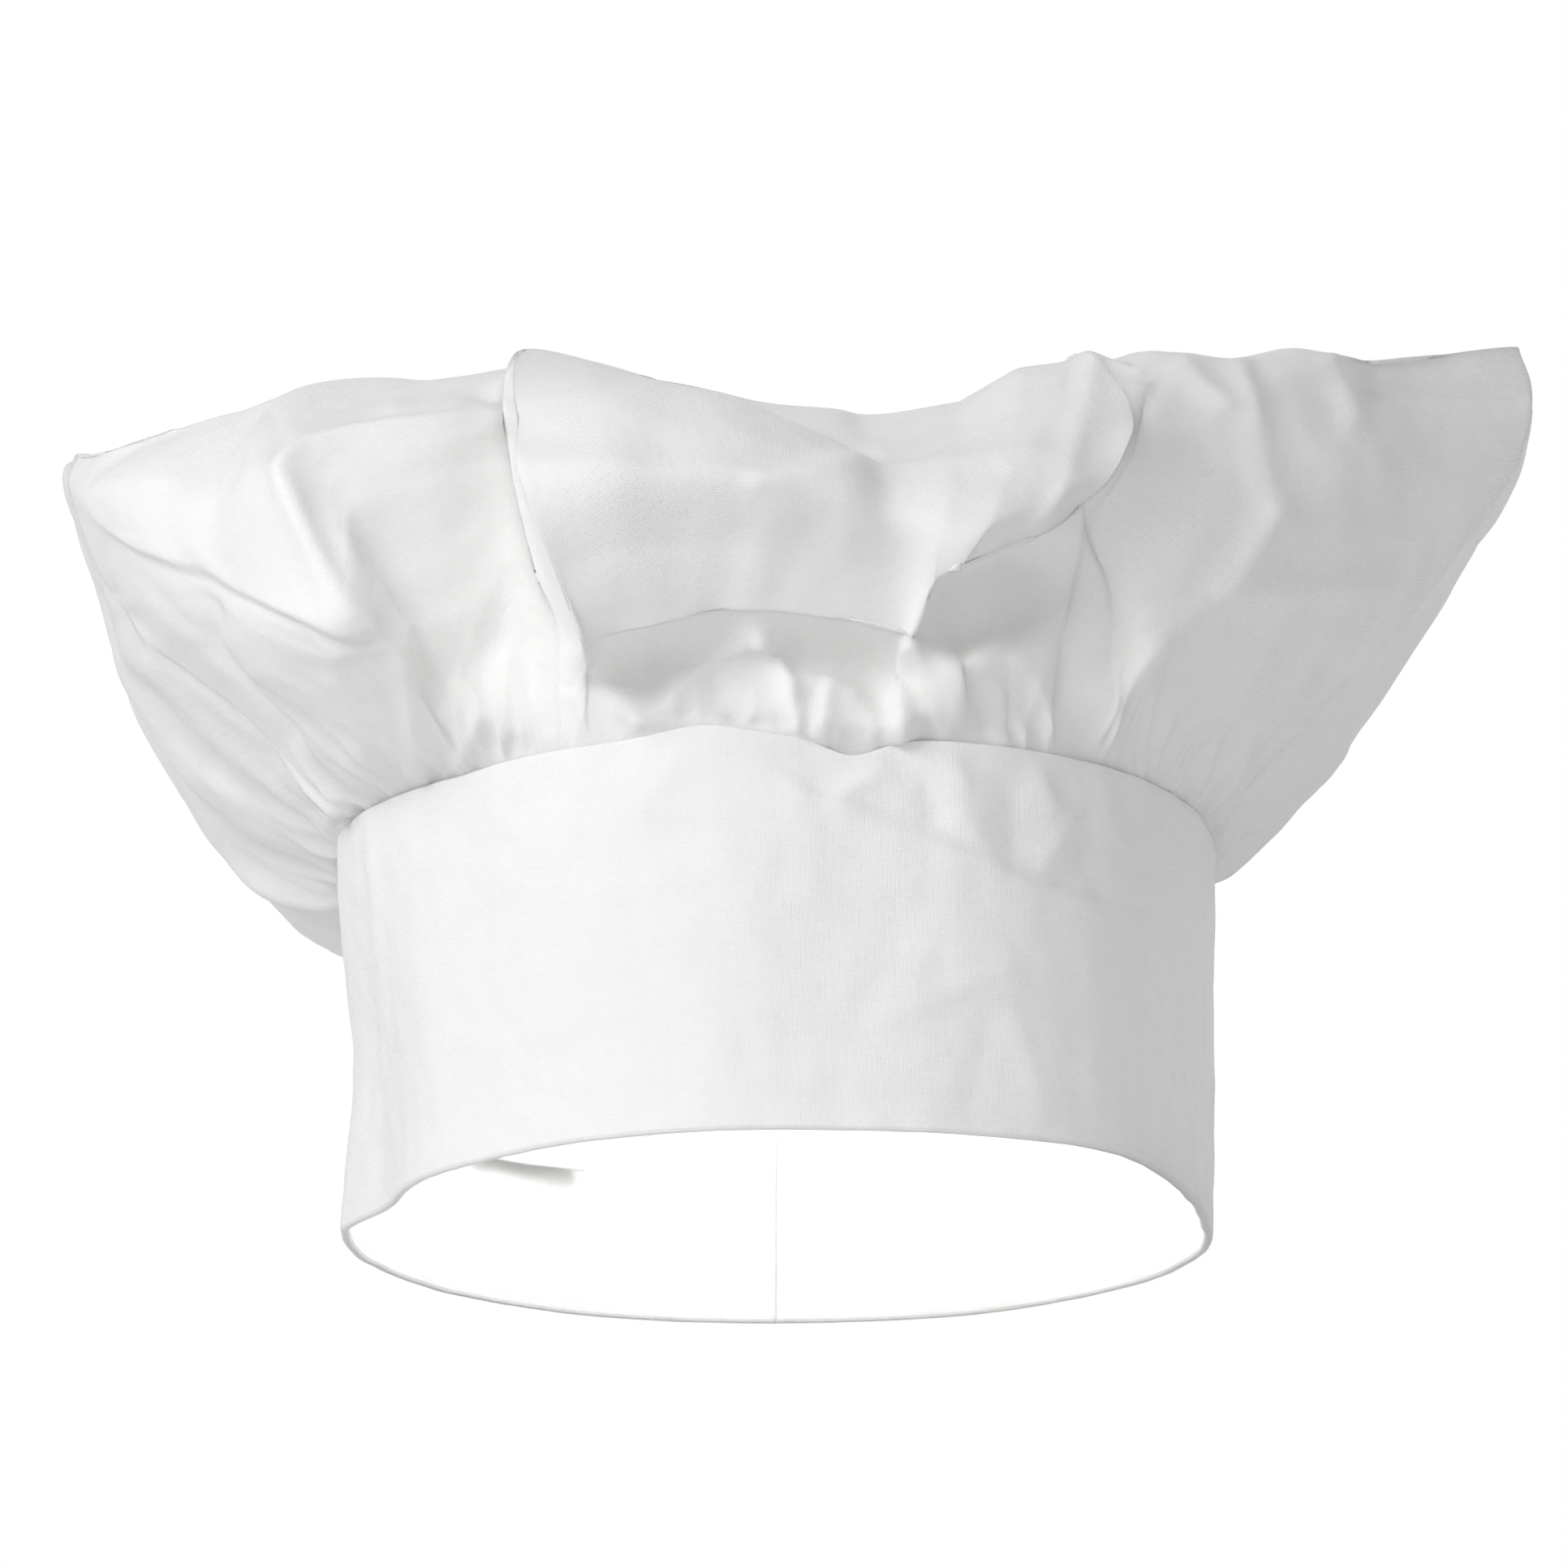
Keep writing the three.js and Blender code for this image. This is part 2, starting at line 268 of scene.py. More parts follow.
def blurred(grid):
    """A closed grid, averaged with its neighbours; its first and last rows only round the hat."""
    grid = np.roll(grid, 1, 0) + 2 * grid + np.roll(grid, -1, 0)
    grid[:, 1:-1] = (grid[:, :-2] + 2 * grid[:, 1:-1] + grid[:, 2:]) / 4
    return grid / 4


def eased_normals(points, passes=3):
    """Unit normals of a closed grid, averaged with their neighbours so that sharp folds stay clean."""
    normals = grid_normals(points, closed=True)
    for _ in range(passes):
        normals = unit(blurred(normals))
    return normals


def grid_faces(columns, rows, closed):
    last = columns if closed else columns - 1
    i, j = np.meshgrid(np.arange(last), np.arange(rows - 1), indexing="ij")
    after = (i + 1) % columns
    faces = np.stack([i * rows + j, after * rows + j, after * rows + j + 1, i * rows + j + 1], -1)
    return faces.reshape(-1, 4).tolist()


def add_object(name, data):
    made = bpy.data.objects.new(name, data)
    bpy.context.scene.collection.objects.link(made)
    return made


def add_mesh(name, points, faces, surface, pattern=None):
    """A mesh object from points in millimetres. pattern holds each point's place on the flat cloth."""
    mesh = bpy.data.meshes.new(name)
    mesh.from_pydata((np.asarray(points).reshape(-1, 3) * MM).tolist(), [], faces)
    mesh.validate()
    mesh.polygons.foreach_set("use_smooth", [True] * len(mesh.polygons))
    if pattern is not None:
        flat = np.zeros((len(mesh.vertices), 3), np.float32)
        flat[:, :2] = np.asarray(pattern).reshape(-1, 2)
        attribute = mesh.attributes.new("pattern", "FLOAT_VECTOR", "POINT")
        attribute.data.foreach_set("vector", flat.ravel())
    mesh.materials.append(surface)
    return add_object(name, mesh)


def add_sheet(name, face, thickness, surface, pattern, closed=False, pole=None):
    """Cloth of real thickness: face is the grid of its outer side, and pole closes its last row."""
    columns, rows = face.shape[:2]
    offset = columns * rows
    thickness = np.broadcast_to(thickness, (columns, rows))
    back = face - grid_normals(face, closed) * thickness[..., None]
    points = np.concatenate([face.reshape(-1, 3), back.reshape(-1, 3)])
    flat = np.tile(pattern.reshape(-1, 2), (2, 1))
    there = grid_faces(columns, rows, closed)
    faces = there + [[offset + i for i in reversed(quad)] for quad in there]

    def strip(edge):
        return [[a, a + offset, b + offset, b] for a, b in zip(edge, edge[1:])]

    around = list(range(0, offset, rows))
    if closed:
        around.append(0)
    faces += strip(around)
    if not closed:
        faces += strip(range(offset - rows, offset))
        faces += strip(range(rows)[::-1])
    far = [i + rows - 1 for i in reversed(around)]
    if pole is None:
        faces += strip(far)
    else:
        tip = len(points)
        points = np.concatenate([points, [pole, np.array(pole) - (0, 0, thickness[0, -1])]])
        flat = np.concatenate([flat, [(0, 0), (0, 0)]])
        faces += [[b, a, tip] for a, b in zip(far, far[1:])]
        faces += [[a + offset, b + offset, tip + 1] for a, b in zip(far, far[1:])]
    return add_mesh(name, points, faces, surface, flat)


def tube(path, radii, sides):
    """Points and faces of a closed round tube along a path."""
    path = np.asarray(path, float)
    ahead = unit(np.gradient(path, axis=0))
    steep = abs(ahead[0][2]) >= 0.8
    side = unit(np.cross(ahead, (1.0, 0.0, 0.0) if steep else (0.0, 0.0, 1.0)))
    up = np.cross(side, ahead)
    turns = (2 * math.pi * np.arange(sides) / sides)[:, None, None]
    points = path + (np.cos(turns) * side + np.sin(turns) * up) * np.asarray(radii)[:, None]
    count = len(path)
    faces = grid_faces(sides, count, closed=True)
    faces.append([j * count for j in reversed(range(sides))])
    faces.append([j * count + count - 1 for j in range(sides)])
    return points.reshape(-1, 3), faces


def add_tubes(name, paths, radii, surface, sides=6):
    """One object made of many short tubes, such as a row of stitches."""
    points, faces, flat = [], [], []
    for path in paths:
        found, quads = tube(path, radii, sides)
        start = len(points) * len(found)
        faces += [[start + i for i in quad] for quad in quads]
        points.append(found)
        along = np.tile(np.arange(len(path)) / len(path), sides)
        flat.append(np.stack([along, np.repeat(np.arange(sides) / sides, len(path))], -1))
    return add_mesh(name, np.concatenate(points), faces, surface, np.concatenate(flat))


# ---- materials ----

BUMP_STRENGTH = 0.8
SPECULAR = 0.25
SHEEN_ROUGHNESS = 0.5
CLOUD_SCALE = 18.0            # faint uneven patches in the colour and roughness of all cloth
CLOUD_TINT = (0.975, 1.015)
CLOUD_ROUGHNESS = 0.06
TAPE_RIB, SATIN_PICK = 0.9, 0.35   # distances between ribs and between picks

# heights of the finer parts of a relief, against its main pattern
SLUB_SHARE, FUZZ_SHARE, RUMPLE_SHARE = 1.2, 0.35, 6.0
PILE_SHARE, PICK_SHARE = 1.2, 0.15


def shader(name):
    material = bpy.data.materials.new(name)
    material.use_nodes = True
    tree = material.node_tree
    return material, tree, tree.nodes["Principled BSDF"]


def feed(tree, target, inputs):
    """Set inputs of a node, by name or number, to plain values or to other nodes' outputs."""
    for key, value in inputs.items():
        if isinstance(value, bpy.types.NodeSocket):
            tree.links.new(value, target.inputs[key])
        else:
            target.inputs[key].default_value = value


def node(tree, kind, inputs=None, **settings):
    """A new node, its inputs fed and its other settings made."""
    made = tree.nodes.new("ShaderNode" + kind)
    for key, value in settings.items():
        setattr(made, key, value)
    feed(tree, made, inputs or {})
    return made


def compute(tree, operation, *values):
    return node(tree, "Math", dict(enumerate(values)), operation=operation).outputs[0]


def plus_share(tree, height, share, finer):
    """A height with a share of a finer one added."""
    return compute(tree, "ADD", height, compute(tree, "MULTIPLY", finer, share))


def noise(tree, place, scale, stretch=(1, 1, 1), detail=3.0):
    scaled = node(tree, "Mapping", {"Vector": place, "Scale": stretch}).outputs[0]
    return node(tree, "TexNoise", {"Vector": scaled, "Scale": scale, "Detail": detail}).outputs["Fac"]


def ranged(tree, value, low, high, start=0.0):
    """A value that runs from start to 1, spread to run from low to high."""
    ends = {"Value": value, "From Min": start, "To Min": low, "To Max": high}
    return node(tree, "MapRange", ends).outputs[0]


def sine_along(tree, place, axis, turns):
    """A sine wave along one axis of a place; turns is its angle for each unit of length."""
    distance = node(tree, "SeparateXYZ", {0: place}).outputs[axis]
    return compute(tree, "SINE", compute(tree, "MULTIPLY", distance, turns))


def plain_weave(tree, place, pitch):
    """Height of a plain weave: threads cross over and under, with slubs of uneven thickness."""
    waves = [sine_along(tree, place, axis, math.pi / pitch) for axis in (0, 1)]
    knots = compute(tree, "ABSOLUTE", compute(tree, "MULTIPLY", *waves))
    warp = noise(tree, place, 1.0 / pitch, (1.0, 0.05, 1.0), 2.0)
    weft = noise(tree, place, 1.0 / pitch, (0.05, 1.0, 1.0), 2.0)
    return plus_share(tree, knots, SLUB_SHARE, compute(tree, "ADD", warp, weft))


def poplin_relief(tree, flat, where):
    """A plain weave with a little fuzz, on cloth that is softly rumpled from wear."""
    weave = plain_weave(tree, flat, THREAD_PITCH)
    fuzzy = plus_share(tree, weave, FUZZ_SHARE, noise(tree, where, 2600.0, detail=2.0))
    return plus_share(tree, fuzzy, RUMPLE_SHARE, noise(tree, where, 170.0, detail=4.0))


def felt_relief(tree, flat, where):
    """Pressed fibres that lie every way, as in sew-in stiffener."""
    headings = ((1, 0.15, 0.3), (0.15, 1, 0.3), (0.4, 0.2, 1))
    fibres = [noise(tree, where, 900.0, stretch) for stretch in headings]
    return compute(tree, "MAXIMUM", compute(tree, "MAXIMUM", *fibres[:2]), fibres[2])


def tape_relief(tree, flat, where):
    """Parallel ribs under a fuzz of pile."""
    ribs = sine_along(tree, flat, 0, 2 * math.pi / TAPE_RIB)
    return plus_share(tree, ribs, PILE_SHARE, noise(tree, where, 1800.0))


def satin_relief(tree, flat, where):
    """Long glossy floats, tied down by fine picks."""
    floats = noise(tree, flat, 6.0, (1.0, 0.06, 1.0))
    picks = sine_along(tree, flat, 1, 2 * math.pi / SATIN_PICK)
    return plus_share(tree, floats, PICK_SHARE, picks)


def thread_relief(tree, flat, where):
    """Two plies twisted round each other, with a few hairs."""
    run, turn, _ = node(tree, "SeparateXYZ", {0: flat}).outputs
    along = compute(tree, "MULTIPLY", run, 6 * math.pi)
    around = compute(tree, "MULTIPLY", turn, 4 * math.pi)
    plies = compute(tree, "SINE", compute(tree, "ADD", along, around))
    return compute(tree, "ADD", plies, noise(tree, where, 3000.0, detail=2.0))


def cloth_material(name, relief, depth, colour, rough, sheen=0.12, anisotropy=0.0):
    """Cloth whose relief is a height pattern of the given depth in millimetres."""
    material, tree, bsdf = shader(name)
    flat = node(tree, "Attribute", attribute_name="pattern").outputs["Vector"]
    where = node(tree, "TexCoord").outputs["Object"]
    height = relief(tree, flat, where)
    bump = node(tree, "Bump", {"Strength": BUMP_STRENGTH, "Distance": depth * MM, "Height": height})
    cloudy = noise(tree, where, CLOUD_SCALE, detail=4.0)
    tint = {0: colour, "Scale": ranged(tree, cloudy, *CLOUD_TINT)}
    feed(tree, bsdf, {
        "Normal": bump.outputs[0],
        "Base Color": node(tree, "VectorMath", tint, operation="SCALE").outputs[0],
        "Roughness": ranged(tree, cloudy, rough - CLOUD_ROUGHNESS, rough + CLOUD_ROUGHNESS),
        "Specular IOR Level": SPECULAR,
        "Anisotropic": anisotropy,
        "Sheen Weight": sheen,
        "Sheen Roughness": SHEEN_ROUGHNESS,
    })
    return material


poplin = cloth_material("poplin", poplin_relief, 0.07, (0.86, 0.86, 0.855), 0.88)
stiffener = cloth_material("stiffener", felt_relief, 0.12, (0.80, 0.80, 0.77), 0.93)
woven_tape = cloth_material("tape", tape_relief, 0.08, (0.82, 0.82, 0.81), 0.75)
satin = cloth_material("satin", satin_relief, 0.02, (0.85, 0.85, 0.84), 0.38, 0.3, anisotropy=0.6)
sewing_thread = cloth_material("thread", thread_relief, 0.06, (0.88, 0.88, 0.875), 0.6, 0.25)

# ---- outlines of the band ----

# seen from above, anticlockwise from the centre back; the wearer's right front is pinched at a crease
# and the left front is squared
BAND_EDGE_TOP = [
    (0, 1.0), (-0.43, 0.92), (-0.76, 0.68), (-0.95, 0.36), (-1.0, 0.02), (-0.965, -0.22),
    (-0.89, -0.40), (-0.73, -0.62), (-0.47, -0.89), (-0.16, -1.01), (0.17, -0.985), (0.47, -0.93),
    (0.74, -0.73), (0.91, -0.44), (0.985, -0.12), (0.985, 0.25), (0.84, 0.58), (0.47, 0.90),
]
BAND_EDGE_BOTTOM = [
    (0, 1.0), (-0.43, 0.92), (-0.76, 0.68), (-0.95, 0.36), (-0.995, 0.04), (-0.89, -0.20),
    (-0.825, -0.44), (-0.73, -0.60), (-0.47, -0.85), (-0.16, -0.98), (0.17, -0.99), (0.47, -0.93),
    (0.75, -0.77), (0.90, -0.46), (0.975, -0.10), (0.985, 0.25), (0.84, 0.58), (0.47, 0.90),
]


def band_outline(shares):
    return closed_line([(x * HALF_WIDTH, y * HALF_DEPTH) for x, y in shares])


top_line, top_length = band_outline(BAND_EDGE_TOP)
bottom_line, bottom_length = band_outline(BAND_EDGE_BOTTOM)

# ---- folds and waves ----

FOLD_ROUND = 1.5      # 1 gives a fold a sharp crest and 2 a round one
FOLD_REACH = 3.0      # how far a fold is felt, in widths of the fold
STEP_SOFTNESS = 1.1   # half the width of a step's sharp side
STEP_END = 0.25       # share of a step over which either end fades


def distance_to_line(places, line):
    """Each place's distance from a polyline, whether it is on its left, and how far along it lies."""
    nearest = np.full(len(places), np.inf)
    left = np.zeros(len(places), bool)
    along = np.zeros(len(places))
    passed = 0.0
    for start, end in zip(line[:-1], line[1:]):
        run = end - start
        length = np.linalg.norm(run)
        away = places - start
        t = np.clip((away @ run) / length**2, 0, 1)
        distance = np.linalg.norm(away - t[:, None] * run, axis=1)
        closer = distance < nearest
        nearest[closer] = distance[closer]
        left[closer] = (run[0] * away[:, 1] - run[1] * away[:, 0])[closer] > 0
        along[closer] = passed + length * t[closer]
        passed += length
    return nearest, left, along / passed


def fold_relief(places, folds):
    """Relief of folds drawn on the plane square to the camera's view.

    A fold is its line, how far it stands out, its width, and the word step if it stands out only on
    its line's left and falls off sharply at the line; any other fold is a ridge or a valley.
    """
    relief = np.zeros(len(places))
    for line, height, width, *step in folds:
        line = np.array(line, float)
        low, high = line.min(0) - FOLD_REACH * width, line.max(0) + FOLD_REACH * width
        near = np.all((places > low) & (places < high), axis=1)
        away, left, along = distance_to_line(places[near], line)
        shape = np.exp(-np.abs(away / width) ** FOLD_ROUND)
        if step:
            shape *= smooth(-STEP_SOFTNESS, STEP_SOFTNESS, np.where(left, away, -away))
            shape *= smooth(0, STEP_END, along) * smooth(1, 1 - STEP_END, along)
        relief[near] += height * shape
    return relief


def seen_from_front(points):
    """Where points lie on the plane square to the camera's view: across and up."""
    up = points[..., 2] * math.cos(VIEW_BELOW) - points[..., 1] * math.sin(VIEW_BELOW)
    return np.stack([points[..., 0], up], -1)


def wave_field(shortest, longest, count=26):
    """A soft irregular relief about one unit high, made of random waves, as a function of place."""
    waves = [
        (random.uniform(shortest, longest), random.uniform(0, math.pi), random.uniform(0, 2 * math.pi))
        for _ in range(count)
    ]

    def height(across, along):
        total = 0
        for length, heading, phase in waves:
            run = across * math.cos(heading) + along * math.sin(heading)
            total = total + np.sin(2 * math.pi * run / length + phase) * length / longest
        return total / math.sqrt(count)

    return height


# ---- shape of the band ----

# folds seen on the front of the band: a long crease with a puffed side, and soft dents
BAND_FOLDS = [
    ([(80, 60), (64, 64), (51, 69), (31, 78), (7, 87), (-9, 97)], 1.8, 24.0, "step"),
    ([(-78, 30), (-79, 60), (-80, 88)], 0.7, 3.0, "step"),
    ([(72, 30), (73, 75)], 0.6, 4.0),
    ([(24, 94), (29, 89), (31, 82)], -1.0, 3.2),
    ([(40, 93), (46, 86), (47, 77)], -1.1, 3.4),
    ([(34, 95), (37, 88)], 0.8, 2.8),
    ([(52, 90), (54, 84)], 0.8, 2.8),
    ([(57, 88), (62, 82), (60, 73)], -0.9, 3.2),
    ([(70, 84), (72, 72)], -0.7, 3.0),
    ([(20, 91), (13, 86)], 0.9, 2.6),
    ([(60, 84), (52, 72)], 0.8, 3.0),
    ([(36, 82), (42, 74)], 0.7, 3.0),
    ([(52, 24), (45, 47)], 0.7, 4.0),
    ([(38, 24), (41, 40)], -0.6, 5.0),
    ([(60, 50), (30, 56)], 0.6, 4.0),
    ([(66, 40), (38, 46)], -0.5, 4.0),
    ([(20, 42), (44, 52)], 0.5, 3.5),
    ([(-55, 84), (-48, 76), (-60, 66)], 0.5, 4.0),
    ([(-20, 92), (-26, 84)], 0.5, 4.0),
]
FOLDS_BY_THE_EDGE = 0.3   # share of the folds' relief that is left at the band's top edge
FLAT_EDGE = 8.0           # from the top edge down to where the folds are at their full relief

# the top edge in front waves up and down: how far, at which X and how wide
EDGE_WAVES = [(2.2, -14, 11), (-3.4, 15, 7)]

band_waves = wave_field(16, 60)
band_dents = wave_field(7, 18)
WAVE_DEPTH, DENT_DEPTH = 0.28, 0.2

# the wearer's right side is pinched in along a level line
PINCH_DEPTH, PINCH_HEIGHT, PINCH_SPREAD = 3.2, 32.0, 24.0

SHARE_STEP = 0.002        # share of the way round over which the band's direction is found

# stretches of Y, or of X for the pinch, over which a feature comes in
EDGE_WAVES_IN, FOLDS_IN, PINCH_IN = (-40, -80), (10, -20), (-66, -86)


def band_point(share, height, depth=0.0):
    """Points on the band: share of the way round from the centre back, height, and depth inwards."""
    share = np.asarray(share, float)
    height = np.broadcast_to(height, share.shape)
    rise = np.clip(height / BAND_HEIGHT, 0, 1.1)[..., None]

    def outline(s):
        return bottom_line(s * bottom_length) * (1 - rise) + top_line(s * top_length) * rise

    here = outline(share)
    ahead = outline(share + SHARE_STEP) - outline(share - SHARE_STEP)
    inward = unit(np.stack([-ahead[..., 1], ahead[..., 0]], -1))

    x, y = here[..., 0], here[..., 1]
    lift = sum(by * np.exp(-(((x - middle) / spread) ** 2)) for by, middle, spread in EDGE_WAVES)
    up = height + lift * smooth(0.4 * BAND_HEIGHT, BAND_HEIGHT, height) * smooth(*EDGE_WAVES_IN, y)

    places = seen_from_front(np.concatenate([here, up[..., None]], -1)).reshape(-1, 2)
    relief = fold_relief(places, BAND_FOLDS).reshape(share.shape) * smooth(*FOLDS_IN, y)
    below_edge = smooth(BAND_HEIGHT, BAND_HEIGHT - FLAT_EDGE, height)
    relief *= FOLDS_BY_THE_EDGE + (1 - FOLDS_BY_THE_EDGE) * below_edge
    arc = share * top_length
    relief += WAVE_DEPTH * band_waves(arc, height) + DENT_DEPTH * band_dents(arc, height)
    pinch = np.exp(-(((height - PINCH_HEIGHT) / PINCH_SPREAD) ** 2)) * smooth(*PINCH_IN, x)
    relief -= PINCH_DEPTH * pinch
    flat = here + inward * (np.asarray(depth) - relief)[..., None]
    return np.concatenate([flat, up[..., None]], -1)


# ---- crown ----

